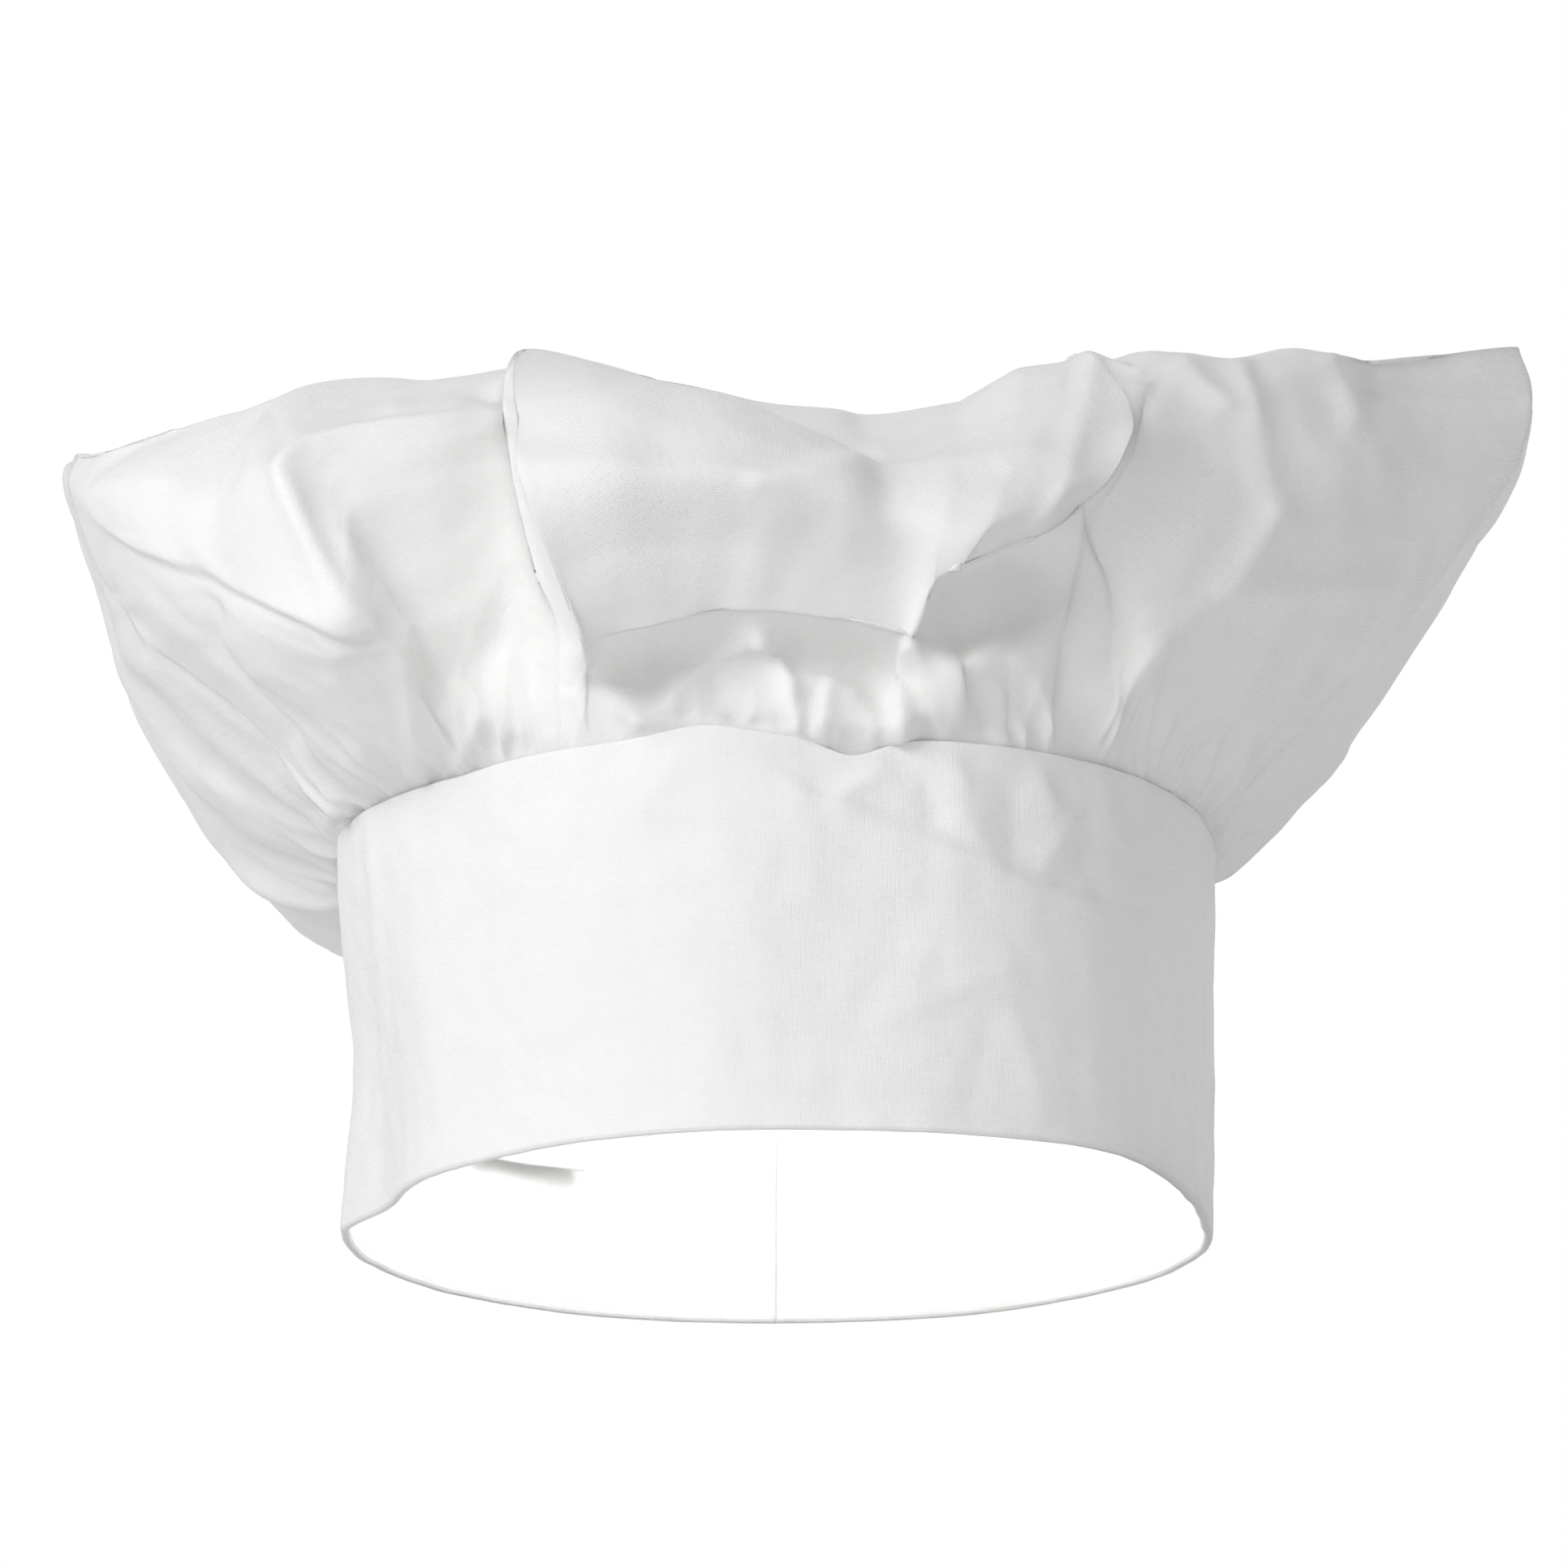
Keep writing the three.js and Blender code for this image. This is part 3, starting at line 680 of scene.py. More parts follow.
# Each rib is a line up the crown: where it leaves the band, and then eight points from just above the
# band, up the gathered wall to the rim and over it to the top. Ribs run from the centre back round
# the wearer's right, the forehead and the left. After its place on the band a rib has its corner,
# which is 0 along a sharp fold and 1 on smooth cloth, and its crease, which is the index of the point
# where a sharp fold crosses it.
RIBS = [
    # back, wearer's right
    ((-14, 101), 1, None, (-15, 106, 83), (-17, 116, 92), (-20, 124, 105), (-23, 128, 122),
     (-24, 125, 139), (-24, 114, 153), (-22, 96, 160), (-14, 60, 158)),
    ((-40, 91), 1, None, (-43, 96, 80), (-52, 106, 84), (-62, 115, 94), (-71, 119, 109),
     (-76, 115, 127), (-76, 104, 144), (-66, 86, 155), (-40, 55, 158)),
    ((-60, 74), 1, None, (-67, 80, 71), (-79, 88, 71), (-90, 91, 84), (-101, 91, 100), (-108, 88, 116),
     (-108, 80, 134), (-95, 66, 150), (-58, 44, 158)),
    ((-74, 52), 1, None, (-81, 57, 71), (-93, 64, 75), (-105, 68, 88), (-116, 66, 103), (-125, 60, 120),
     (-125, 54, 138), (-112, 44, 153), (-70, 32, 160)),
    ((-83, 28), 1, 6, (-88, 30, 76), (-101, 36, 81), (-115, 40, 93), (-127, 38, 112), (-133, 32, 127),
     (-136, 26, 143), (-126, 24, 154), (-78, 20, 162)),
    ((-87, 4), 1, 6, (-91, 6, 82), (-104, 9, 92), (-119, 12, 106), (-130, 12, 118), (-134, 10, 131),
     (-142, 6, 151), (-139, 12, 158), (-84, 14, 163)),
    # valley below the tip on the wearer's right
    ((-85, -24), 0.3, 6, (-88, -24, 80), (-100, -20, 92.5), (-116, -12, 108), (-129, -3, 122),
     (-134, 1, 131), (-141, -1, 149.5), (-138.5, 2, 157.5), (-85, 6, 163)),
    # front lobe on the wearer's right
    ((-83, -33), 1, 6, (-87, -37, 82), (-98, -43, 90), (-111, -43, 103), (-122, -35, 118),
     (-130, -27, 133), (-137, -17, 145), (-132, -13, 155.5), (-82, -5, 162)),
    ((-78, -45), 1, 6, (-83, -50, 83), (-93, -55, 91), (-105, -57, 101), (-115, -53, 113),
     (-121, -45, 126), (-126, -37, 143), (-117, -25, 157.5), (-75, -12, 163)),
    ((-72, -56), 1, 6, (-76, -62, 84), (-84, -69, 90), (-93, -75, 97), (-101, -75, 105),
     (-106, -67, 116), (-111, -58, 136), (-103, -33, 160), (-66, -20, 165)),
    ((-66, -64), 1, None, (-69, -70, 84), (-75, -79, 90), (-82, -86, 96), (-88, -88, 101),
     (-93, -87, 109), (-102, -81, 132), (-98, -52, 155), (-62, -26, 166)),
    ((-62, -68), 0.2, None, (-65, -74, 85), (-70, -82, 91), (-75, -89, 97), (-80, -92, 101),
     (-85, -93, 106.5), (-95, -92, 127.3), (-95, -81, 141.7), (-58, -32, 166)),
    # panel set back between that lobe and the flap
    ((-57, -73), 1, None, (-60, -78, 85), (-66, -80, 93.9), (-72, -84, 102.6), (-78, -87, 114),
     (-83, -90, 126.8), (-84, -86, 137.6), (-81, -77, 147), (-55, -36, 166)),
    ((-52, -78), 1, None, (-54, -81, 85.5), (-58, -79, 97), (-62, -82, 108), (-65, -84, 119.7),
     (-67, -86, 132.4), (-67, -84, 141), (-67, -76, 150), (-50, -39, 166)),
    ((-46, -83), 1, None, (-48, -85, 86.6), (-50, -80, 101), (-51, -80, 113.7), (-53, -80, 126),
     (-55, -80, 136.4), (-56, -79, 144.5), (-56, -73, 152), (-45, -42, 166)),
    ((-41, -88), 1, None, (-42, -89, 86), (-42, -86, 94), (-42, -84, 103), (-45.5, -82, 114.4),
     (-50, -80, 130.3), (-53, -77, 145), (-53, -70, 158.5), (-42, -44, 165)),
    # edge of the flap, wearer's right
    ((-36, -91), 0, None, (-37, -94, 84), (-37, -98, 90.4), (-37.5, -117, 93), (-43, -123, 107.4),
     (-48, -124, 123), (-51.5, -107, 141.7), (-50.5, -66, 162), (-38, -46, 163)),
    # flap
    ((-25, -98), 1, 2, (-25, -99, 84), (-25, -98.5, 92.5), (-25.5, -114, 97.5), (-28, -120, 109.8),
     (-31, -124, 125.6), (-34, -108, 145.6), (-37, -60, 162), (-29, -42, 164)),
    ((-5, -102), 1, 2, (-5, -102, 84), (-5, -100, 94.6), (-6, -110, 101.5), (-7, -115, 113),
     (-9, -120, 127.6), (-11, -104, 144.8), (-13, -60, 155), (-4, -26, 162)),
    ((12, -102), 1, 2, (12, -102.5, 81), (12, -96, 93.4), (12, -106, 100.7), (12, -110, 112.2),
     (12, -115, 124), (12, -102, 135.5), (10, -78, 144), (12, -30, 160)),
    ((22, -101), 1, 2, (23, -102, 81), (23, -95, 91.6), (24, -103, 98.9), (24, -106, 110),
     (23, -110, 120), (22, -103, 129.4), (21.5, -85, 137.7), (18, -32, 158)),
    ((31, -99), 0.4, 2, (30, -101, 82), (29, -102, 90), (27, -105, 97), (30, -110, 108),
     (34, -112, 119), (36, -99, 133), (36, -72, 147), (30, -38, 158)),
    ((38, -95), 0.4, 3, (38, -99, 83.8), (37, -103, 91.4), (36, -94, 102.8), (36.5, -112, 108),
     (42, -112, 119), (47, -96, 136), (48, -64, 158), (38, -42, 159)),
    ((45, -90), 0.6, 3, (45, -92, 84), (46, -94, 94.6), (47, -85, 108.8), (45, -108, 113),
     (52, -104, 125), (55, -88, 143), (57, -60, 161), (44, -44, 160)),
    ((53, -83), 0, 3, (54, -86, 85), (56, -86, 98), (58, -86, 112), (62, -96, 125.5), (68, -90, 137),
     (70, -78, 148), (63, -59, 163.5), (50, -42, 161)),
    # valley beside the flap, wearer's left
    ((62, -77), 0.3, None, (66, -80, 88), (66, -83, 98), (66, -85, 109), (64, -89, 124), (70, -85, 139),
     (72.5, -74, 150), (71, -64, 160), (56, -42, 163)),
    # wall on the wearer's left, up to the high tip
    ((69, -68), 1, None, (71, -77, 88), (74, -82, 99), (80, -79, 114), (84, -74, 130), (83, -70, 143),
     (80, -66, 154), (77, -60, 163.5), (62, -40, 164)),
    ((76, -56), 1, None, (78, -62, 87), (84, -66, 97), (93, -65, 113), (98, -62, 130), (98, -59, 144),
     (95, -56, 156), (92, -50, 165), (70, -32, 165)),
    ((81, -42), 1, None, (84, -47, 86), (92, -50, 95), (104, -50, 112), (112, -48, 131),
     (114, -45, 147), (111, -42, 160), (106, -40, 169), (76, -22, 166)),
    ((85, -24), 1, 6, (89, -28, 85), (99, -30, 95), (113, -29, 113), (124, -27, 132), (130, -24, 150),
     (129, -22, 164), (122, -25, 171), (82, -10, 167)),
    ((87.5, -2), 0.5, 6, (91, -6, 84), (101, -8, 93), (114, -8, 108), (131, -8, 130), (145, -5, 150),
     (151, -3, 166), (147, -4, 178), (88, 5, 168)),
    ((87, 20), 1, 6, (91, 20, 83), (101, 22, 91), (114, 24, 104), (124, 22, 123), (143, 18, 146),
     (149, 14, 164), (140, 14, 175), (84, 18, 168)),
    # back, wearer's left
    ((78, 46), 1, None, (83, 49, 81.5), (92, 55, 89), (103, 61, 101), (116, 64, 118), (128, 60, 138),
     (137, 54, 156), (126, 44, 167), (74, 32, 165)),
    ((62, 72), 1, None, (66, 77, 82), (76, 88, 90), (88, 98, 102), (100, 104, 119), (109, 102, 138),
     (110, 92, 154), (98, 74, 163), (60, 48, 162)),
    ((40, 91), 1, None, (42, 96, 83), (48, 108, 92), (56, 116, 106), (64, 122, 123), (70, 121, 141),
     (68, 112, 155), (60, 94, 163), (40, 58, 161)),
    ((14, 101), 1, None, (14, 106, 84), (16, 116, 94), (19, 124, 108), (22, 128.5, 126), (22, 126, 144),
     (20, 116, 157), (18, 97, 164), (14, 60, 160)),
]
CROWN_CENTRE = (6, 12, 157)
CROWN_COLUMNS = 920
ROWS_BETWEEN = [4, 10, 14, 15, 15, 15, 16, 18, 20, 26]   # from each knot of a rib to the next
ALLOWANCE = 9.0           # how far the crown's edge is tucked down inside the band
TUCK = 0.5 * BAND_THICKNESS

TIGHT_FOLD, OPEN_CLOTH = 0.3, 0.85   # agreement of a point's normal with its neighbours'
GRAZING = 0.35            # cloth turned nearer to edge-on than this gets less of the drawn folds
GATHER_ROW = 30           # a row part of the way up the gathered wall
RUMPLE_DEPTH = 0.35

SIM_COLUMN_STEP = 4
SIM_ROW_STEP = 3
SIM_FRAMES = 16
SIM_GRIP = 0.35           # how firmly the cloth is held to its draped shape
SIM_EXTRA_CLOTH = 0.028   # how much longer than its drape the cloth is
POPLIN_SETTINGS = {
    "quality": 6,
    "mass": 0.0002,
    "tension_stiffness": 12,
    "compression_stiffness": 12,
    "shear_stiffness": 4,
    "bending_stiffness": 0.6,
    "pin_stiffness": 0.6,
    "shrink_min": -SIM_EXTRA_CLOTH,
}

FEWEST_WAVES, MORE_WAVES = 2, 200    # waves round the hat: kept by its centre, and added outwards
CALM_WITHIN, FULL_BEYOND = 10, 110   # distances from the centre

# sets of gathers: ranges for the step to the next one, its width, height, length up the wall and lean,
# and then its sharpness
SHORT_GATHERS = [
    ((3.6, 6.6), (0.9, 1.7), (1.3, 2.8), (6, 18), (-0.3, 0.3), 1.2),
    ((8, 16), (1.0, 1.7), (1.0, 2.0), (16, 34), (-0.5, 0.5), 1.1),
]
LONG_GATHERS = ((9, 17), (2.2, 4.0), (1.1, 2.6), (24, 60), (-0.3, 0.3), 1.5)
BACK_PLEATS = ((20, 34), (4.5, 7), (5.0, 9.0), (50, 90), (-0.25, 0.25), 1.3)
# stretches over which things come in: of Y, and of distance up the wall
FRONT_HALF, UNDER_FLAP, FOREHEAD, BACK = (25, 5), (-92, -99), (-20, -70), (0, 60)
FOLDS_RISE, RUMPLE_RISE, GATHERS_RISE, PLEATS_RISE = (-2, 3), (-2, 12), (-1, 5), (0, 18)
GATHER_FLARE = 0.10       # how much wider a gather gets for each unit up the wall
GATHER_FADE = 1.4         # how abruptly it dies out at its length
SEAM_SHARE = 0.12         # share of the gathers' height at the seam
FLAP_HUSH = 0.55          # how much lower the short gathers are under the flap


def seat_share(point, samples=2400):
    """The share of the way round the band's top edge that lies nearest to a point."""
    shares = np.linspace(0, 1, samples, endpoint=False)
    return shares[np.argmin(np.linalg.norm(top_line(shares * top_length) - np.array(point), axis=1))]


def crown_grid():
    """Crown points on a grid of columns round the hat and rows from the band to near the centre.

    Also each column's arc round the band, and each row's distances from the band and the centre.
    """
    seats = np.unwrap([seat_share(seat) for seat, *_ in RIBS], period=1.0)
    corners = [corner for _, corner, *_ in RIBS]
    body = np.array([points for _, _, _, *points in RIBS], float)
    creases = np.array([[float(i != crease) for i in range(8)] for _, _, crease, *_ in RIBS])
    upper_wall = slice(2, 6)
    steps = np.linalg.norm(np.roll(body, -1, 0) - body, axis=-1)[:, upper_wall].mean(1)
    stations = np.concatenate([[0], np.cumsum(steps)])
    samples = np.linspace(0, stations[-1], CROWN_COLUMNS, endpoint=False)

    seat_at = np.interp(samples, stations, np.append(seats, seats[0] + 1.0))
    tucked = band_point(seat_at, BAND_HEIGHT - ALLOWANCE, TUCK)
    edge = band_point(seat_at, BAND_HEIGHT, TUCK)
    wall = hermite(body, stations, samples, closed=True, slack=corners)
    slack = hermite(creases, stations, samples, closed=True, slack=np.zeros(len(RIBS)))
    slack = np.pad(slack, ((0, 0), (2, 1)), constant_values=1.0)
    centre = np.broadcast_to(np.array(CROWN_CENTRE, float), (CROWN_COLUMNS, 1, 3))
    knots = np.concatenate([tucked[:, None], edge[:, None], wall, centre], 1)

    lengths = np.linalg.norm(np.diff(knots, axis=1), axis=-1).mean(0)
    heights = np.concatenate([[0], np.cumsum(lengths)])
    rows = np.concatenate(
        [np.linspace(heights[i], heights[i + 1], n, endpoint=False) for i, n in enumerate(ROWS_BETWEEN)]
    )
    points = hermite(knots.transpose(1, 0, 2), heights, rows, slack=slack.T).transpose(1, 0, 2)
    return points, seat_at * top_length, rows - heights[1], heights[-1] - rows


def gathers(arc, rise, depth):
    """Relief of the gathers: ridges that start at the band and die out up the wall.

    depth is the Y of each column. Drawn folds take the place of the long ridges at the forehead's side,
    and of most of the short ones under the flap. The broad pleats are only at the back.
    """
    under_flap, front, back = (smooth(*y, depth)[:, None] for y in (UNDER_FLAP, FOREHEAD, BACK))
    spread = np.clip(rise, 0, None)[None, :]
    seated = SEAM_SHARE + (1 - SEAM_SHARE) * smooth(*GATHERS_RISE, rise)[None, :]

    def ridges(step, widths, heights, lengths, leans, sharpness):
        total = np.zeros((len(arc), len(rise)))
        place = 0.0
        while place < top_length:
            width, height, length, lean = (random.uniform(*v) for v in (widths, heights, lengths, leans))
            centre = place + lean * spread
            away = np.mod(arc[:, None] - centre + 0.5 * top_length, top_length) - 0.5 * top_length
            ridge = np.exp(-np.abs(away / (width + GATHER_FLARE * spread)) ** sharpness)
            total += height * ridge * np.exp(-((spread / length) ** GATHER_FADE))
            place += random.uniform(*step)
        return total - total.mean(0)

    relief = sum(ridges(*kind) for kind in SHORT_GATHERS) * (1 - FLAP_HUSH * under_flap)
    relief += ridges(*LONG_GATHERS) * (1 - front)
    relief += ridges(*BACK_PLEATS) * back * smooth(*PLEATS_RISE, rise)
    return relief * seated


# Folds drawn on the crown as it is seen from the front: points are (across, up) on a plane square to
# the camera's view, then how far the fold stands out (negative is a valley) and how wide it is.
CROWN_FOLDS = [
    # lobe on the wearer's right
    ([(-133, 125), (-116, 108), (-100, 95), (-86, 81)], -1.6, 3.0),
    ([(-138, 142), (-125, 134), (-112, 129), (-98, 123), (-83, 118), (-70, 116)], 2.6, 12.0, "step"),
    ([(-114, 124), (-113, 114), (-108, 105), (-99, 96)], -3.6, 5.0),
    ([(-124, 112), (-108, 92), (-92, 76)], 1.6, 3.0),
    ([(-112, 92), (-96, 72)], -1.4, 2.6),
    ([(-120, 92), (-104, 74)], 1.4, 2.6),
    ([(-88, 120), (-85, 110), (-80, 97)], 2.0, 6.0),
    ([(-54, 161), (-74, 158), (-92, 155), (-97, 150), (-95, 145), (-90, 134), (-84, 121)], 1.8, 3.0),
    # panel beside the flap
    ([(-86, 139), (-83, 131), (-72, 118), (-58, 105)], 1.6, 2.6),
    ([(-50, 130), (-49, 124)], 1.4, 8.0),
    ([(-74, 117), (-72, 105), (-70, 93)], 1.6, 2.4),
    ([(-53, 110), (-51, 99)], 1.3, 2.6),
    ([(-46, 110), (-44, 97)], 1.4, 2.2),
    ([(-58, 101), (-62, 92)], 1.5, 2.2),
    # flap
    ([(-48, 150), (-20, 148), (0, 146), (25, 149), (50, 153)], 1.8, 6.0),
    ([(-4, 147), (9, 149), (21, 152)], 1.2, 2.4),
    ([(63, 171), (60, 160), (57, 148), (53, 140)], 1.2, 3.0),
    # gathers under the flap's lip
    ([(-3, 117), (0, 112), (3, 105), (5, 96)], 3.2, 2.0),
    ([(10, 106), (9.5, 97)], 2.2, 1.7),
    ([(4, 107), (9, 108), (15, 106)], 1.8, 2.0),
    ([(-25, 100), (-15, 109), (-5, 117)], 2.2, 3.4),
    ([(-12, 108), (-9, 102), (-4, 99)], -1.4, 2.4),
    ([(-37, 114), (-31, 106), (-25, 99)], 1.8, 2.0),
    ([(26, 115), (25, 106), (24, 96)], 3.2, 1.8),
    ([(16, 113), (21, 104)], -1.2, 3.0),
    # pocket on the wearer's left of the flap
    ([(34, 124), (46, 126)], -4.0, 8.0),
    ([(36, 121), (41, 100)], -1.6, 2.4),
    ([(44, 105), (45, 96)], 1.4, 2.0),
    ([(62, 142), (66, 125), (66, 110), (68, 104)], -2.0, 3.0),
    # wall on the wearer's left
    ([(68, 105), (72, 112), (88, 126), (98, 141)], 2.0, 4.0),
    ([(88, 125), (120, 127)], 0.9, 3.0),
    ([(81, 89), (93, 98), (111, 110), (132, 128)], 1.6, 4.0),
    ([(98, 94), (111, 108)], -2.2, 5.0),
    ([(81, 171), (88, 163)], 1.0, 2.2),
    ([(92, 171), (95, 160)], 1.0, 2.2),
    ([(110, 172), (115, 161)], 1.0, 2.2),
    ([(120, 167), (148, 165)], -1.6, 2.4),
    ([(-75, 169), (-75, 163)], 1.4, 3.0),
    ([(-58, 165), (-51, 161)], -1.2, 2.2),
]


def openness(points, normals):
    """1 where the cloth is open and 0 inside a tight fold, where relief would push it through itself."""
    turned = np.sum(grid_normals(points, closed=True) * normals, axis=-1)
    return smooth(TIGHT_FOLD, OPEN_CLOTH, turned)


def front_relief(points, normals, folds):
    """Relief of drawn folds on the parts of a grid that face the camera."""
    facing = smooth(0, GRAZING, normals @ np.array(TOWARDS_CAMERA))
    facing = facing * smooth(*FRONT_HALF, points[..., 1])
    places = seen_from_front(points).reshape(-1, 2)
    return fold_relief(places, folds).reshape(points.shape[:2]) * facing


def spread_grid(coarse, columns, rows, shape):
    """Values on the whole grid from those at some of its columns and rows."""
    wrapped = np.concatenate([coarse, coarse[:1]])
    filled = hermite(wrapped, np.append(columns, shape[0]), np.arange(shape[0]))
    across = hermite(filled.transpose(1, 0, 2), rows, np.arange(shape[1]))
    return across.transpose(1, 0, 2)


def settled(points, rise):
    """The crown after its cloth has been let go for a moment: a little too big, it sags and buckles."""
    columns = np.arange(0, len(points), SIM_COLUMN_STEP)
    rows = np.unique(np.append(np.arange(0, points.shape[1], SIM_ROW_STEP), points.shape[1] - 1))
    start = points[np.ix_(columns, rows)]
    piece = add_mesh("settling", start, grid_faces(len(columns), len(rows), closed=True), poplin)
    hold = piece.vertex_groups.new(name="hold")
    grip = np.where(rise[rows] < 1, 1.0, SIM_GRIP)
    grip[-1] = 1.0
    for row, weight in enumerate(grip):
        hold.add(list(range(row, len(columns) * len(rows), len(rows))), float(weight), "REPLACE")

    cloth = piece.modifiers.new("cloth", "CLOTH")
    cloth.settings.vertex_group_mass = hold.name
    for name, value in POPLIN_SETTINGS.items():
        setattr(cloth.settings, name, value)
    cloth.point_cache.frame_start = 1
    cloth.point_cache.frame_end = SIM_FRAMES
    for frame_number in range(1, SIM_FRAMES + 1):
        bpy.context.scene.frame_set(frame_number)
    found = piece.evaluated_get(bpy.context.evaluated_depsgraph_get()).data
    moved = np.array([vertex.co for vertex in found.vertices]).reshape(start.shape) / MM
    bpy.data.objects.remove(piece)
    bpy.context.scene.frame_set(1)
    return points + spread_grid(blurred(moved - start), columns, rows, points.shape)


def calmed(points, reach):
    """Points without short waves round the hat near the centre, where all the columns meet."""
    waves = np.fft.rfft(points, axis=0)
    kept = FEWEST_WAVES + MORE_WAVES * smooth(CALM_WITHIN, FULL_BEYOND, reach) ** 2
    waves *= np.exp(-((np.arange(len(waves))[:, None] / kept) ** 2))[..., None]
    return np.fft.irfft(waves, len(points), axis=0)


def crown():
    """The gathered cloth: draped over its ribs, folded, let go, calmed on top and then gathered."""
    points, arc, rise, reach = crown_grid()
    turn = 2 * math.pi * arc / top_length
    pattern = np.stack([np.cos(turn)[:, None] * reach, np.sin(turn)[:, None] * reach], -1)
    normals = eased_normals(points)
    relief = front_relief(points, normals, CROWN_FOLDS) * smooth(*FOLDS_RISE, rise)
    rumples = wave_field(14, 46)(pattern[..., 0], pattern[..., 1])
    relief += RUMPLE_DEPTH * rumples * smooth(*RUMPLE_RISE, rise)
    points = points + normals * (relief * openness(points, normals))[..., None]
    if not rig.quick():
        points = settled(points, rise)
    points = calmed(points, reach)
    normals = eased_normals(points)
    relief = gathers(arc, rise, points[:, GATHER_ROW, 1]) * openness(points, normals)
    points = points + normals * relief[..., None]
    piece = add_sheet("crown", points, CLOTH, poplin, pattern, closed=True, pole=CROWN_CENTRE)
    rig.ride(piece, "band")
    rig.squash(piece, "crown_collapse", axis=(0, 0, 1), anchor=(0, 0, BAND_HEIGHT * MM), keep=0.5)
    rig.replaces(piece, "crown_side", "crown_top")


# ---- band ----

BAND_COLUMNS = 720
BAND_ROWS = 60
BAND_GAP = 0.02       # from the centre back to either end of the band
INNER = BAND_THICKNESS
EDGE_ROUND, EDGE_DIP = 0.15, 0.1   # how far the folded top edges are rounded, outside and inside
SLOT = 6.0            # how far the space between the two layers can be seen into


def band_grid(depths, heights, start=BAND_GAP, columns=BAND_COLUMNS):
    """A grid of points round the whole band, with one row for each pair of depth and height."""
    share = np.linspace(start, top_length - start, columns) / top_length
    count = len(heights)
    points = band_point(np.repeat(share, count), np.tile(heights, columns), np.tile(depths, columns))
    pattern = np.stack(np.broadcast_arrays(share[:, None] * top_length, np.array(heights)[None, :]), -1)
    return points.reshape(columns, count, 3), pattern


def band():
    """The folded strip: up the outside from the bottom fold, over the top edge and down the inside."""
    fold = 0.5 * BAND_THICKNESS
    rise = np.linspace(fold, BAND_HEIGHT - 2 * EDGE_ROUND, BAND_ROWS)
    lip = [(EDGE_ROUND, BAND_HEIGHT), (CLOTH, BAND_HEIGHT - EDGE_DIP), (CLOTH, BAND_HEIGHT - SLOT)]
    turns = np.linspace(0, math.pi, 7)[1:-1]
    section = [(0, z) for z in rise] + lip
    section += [(INNER - depth, z) for depth, z in reversed(lip)]
    section += [(INNER, z) for z in rise[::-1]]
    section += [(fold + fold * math.cos(a), fold - fold * math.sin(a)) for a in turns]
    points, pattern = band_grid(*zip(*section))
    points = np.concatenate([points, points[:, :1]], 1)
    pattern = np.concatenate([pattern, pattern[:, :1]], 1)
    count = len(section)
    faces = grid_faces(BAND_COLUMNS, count + 1, closed=False)
    last = (BAND_COLUMNS - 1) * (count + 1)
    faces += [list(range(count))[::-1], list(range(last, last + count))]
    piece = add_mesh("band", points, faces, poplin, pattern)
    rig.ride(piece, "band")
    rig.replaces(piece, "band_cloth")


def interfacing():
    heights = np.linspace(2.0, BAND_HEIGHT - ALLOWANCE - 1, 24)
    points, pattern = band_grid([2 * CLOTH] * len(heights), heights, start=BAND_GAP + 1, columns=360)
    piece = add_sheet("band_stiffener", points, CLOTH, stiffener, pattern)
    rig.ride(piece, "band")
    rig.replaces(piece, "band_interfacing")


# ---- stitches ----

STITCH = 2.6          # length of a stitch
STITCH_GAP = 0.5
ROW_MARGIN = 2.0      # from either end of the band to the stitches round it
THREAD = 0.24         # radius of the sewing thread
STITCH_SHAPE = np.array([0.0, 0.14, 0.5, 0.86, 1.0])     # places along a stitch
STITCH_BOW = THREAD * np.array([-1.2, 0.35, 0.8, 0.35, -1.2])
STITCH_RADII = THREAD * np.array([0.6, 1, 1.05, 1, 0.6])


def stitch_row(name, place, length, node_name):
    """A row of stitches that dive into the cloth at both their ends.

    place gives points for distances along the row and heights above the cloth.
    """
    starts = np.arange(0, length - STITCH, STITCH + STITCH_GAP)
    paths = [place(start + STITCH * STITCH_SHAPE, STITCH_BOW) for start in starts]
    piece = add_tubes(name, paths, STITCH_RADII, sewing_thread)
    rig.replaces(piece, node_name)
    return piece


def inside_band(height, depth):
    """A row round the whole band that stands out from an inner face."""
    def place(distance, above):
        return band_point((BAND_GAP + ROW_MARGIN + distance) / top_length, height, depth + above)

    return place


def band_stitches():
    length = top_length - 2 * (BAND_GAP + ROW_MARGIN)
    seam = INNER - CLOTH - THREAD
    rows = [
        ("facing_stitches", BAND_HEIGHT - 3, INNER, "thread_facing_edge"),
        ("seam_stitches", BAND_HEIGHT - 0.75 * ALLOWANCE, seam, "thread_crown_seam"),
        ("gathering_stitches", BAND_HEIGHT - 0.3 * ALLOWANCE, seam, "thread_gather"),
    ]
    for name, height, depth, node_name in rows:
        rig.ride(stitch_row(name, inside_band(height, depth), length, node_name), "band")


# ---- back closure ----

TAB_ROOT, TAB_TIP = -20.0, 62.0     # arcs along the band from the centre back
TAB_HEIGHT, TAB_CORNER = 46.0, 14.0
TAB_MIDDLE = 0.5 * BAND_HEIGHT
TAB_THICKNESS = 1.9
TAB_CROWDING = 1.3                  # above 1, its rows of points lie closer by its edges
TAB_ROLL = 2.2                      # from the tab's edge in to its full thickness
GROOVE_DEPTH, GROOVE_WIDTH = 0.5, 0.9   # of the hollow its stitches press into it
TAPE_HEIGHT = 24.0
TAPE_THICKNESS = 0.6
EDGE_STITCH = 3.0                   # from the tab's edge in to its stitches
TUFT_PITCH = 1.15
TUFT_SHIFT = 0.3                    # how far a tuft may stand from its place
TUFT_RADIUS = 0.07
LOOP_BASE, HOOK_BASE = 0.05, 1.1    # distances from the band out to the two tapes


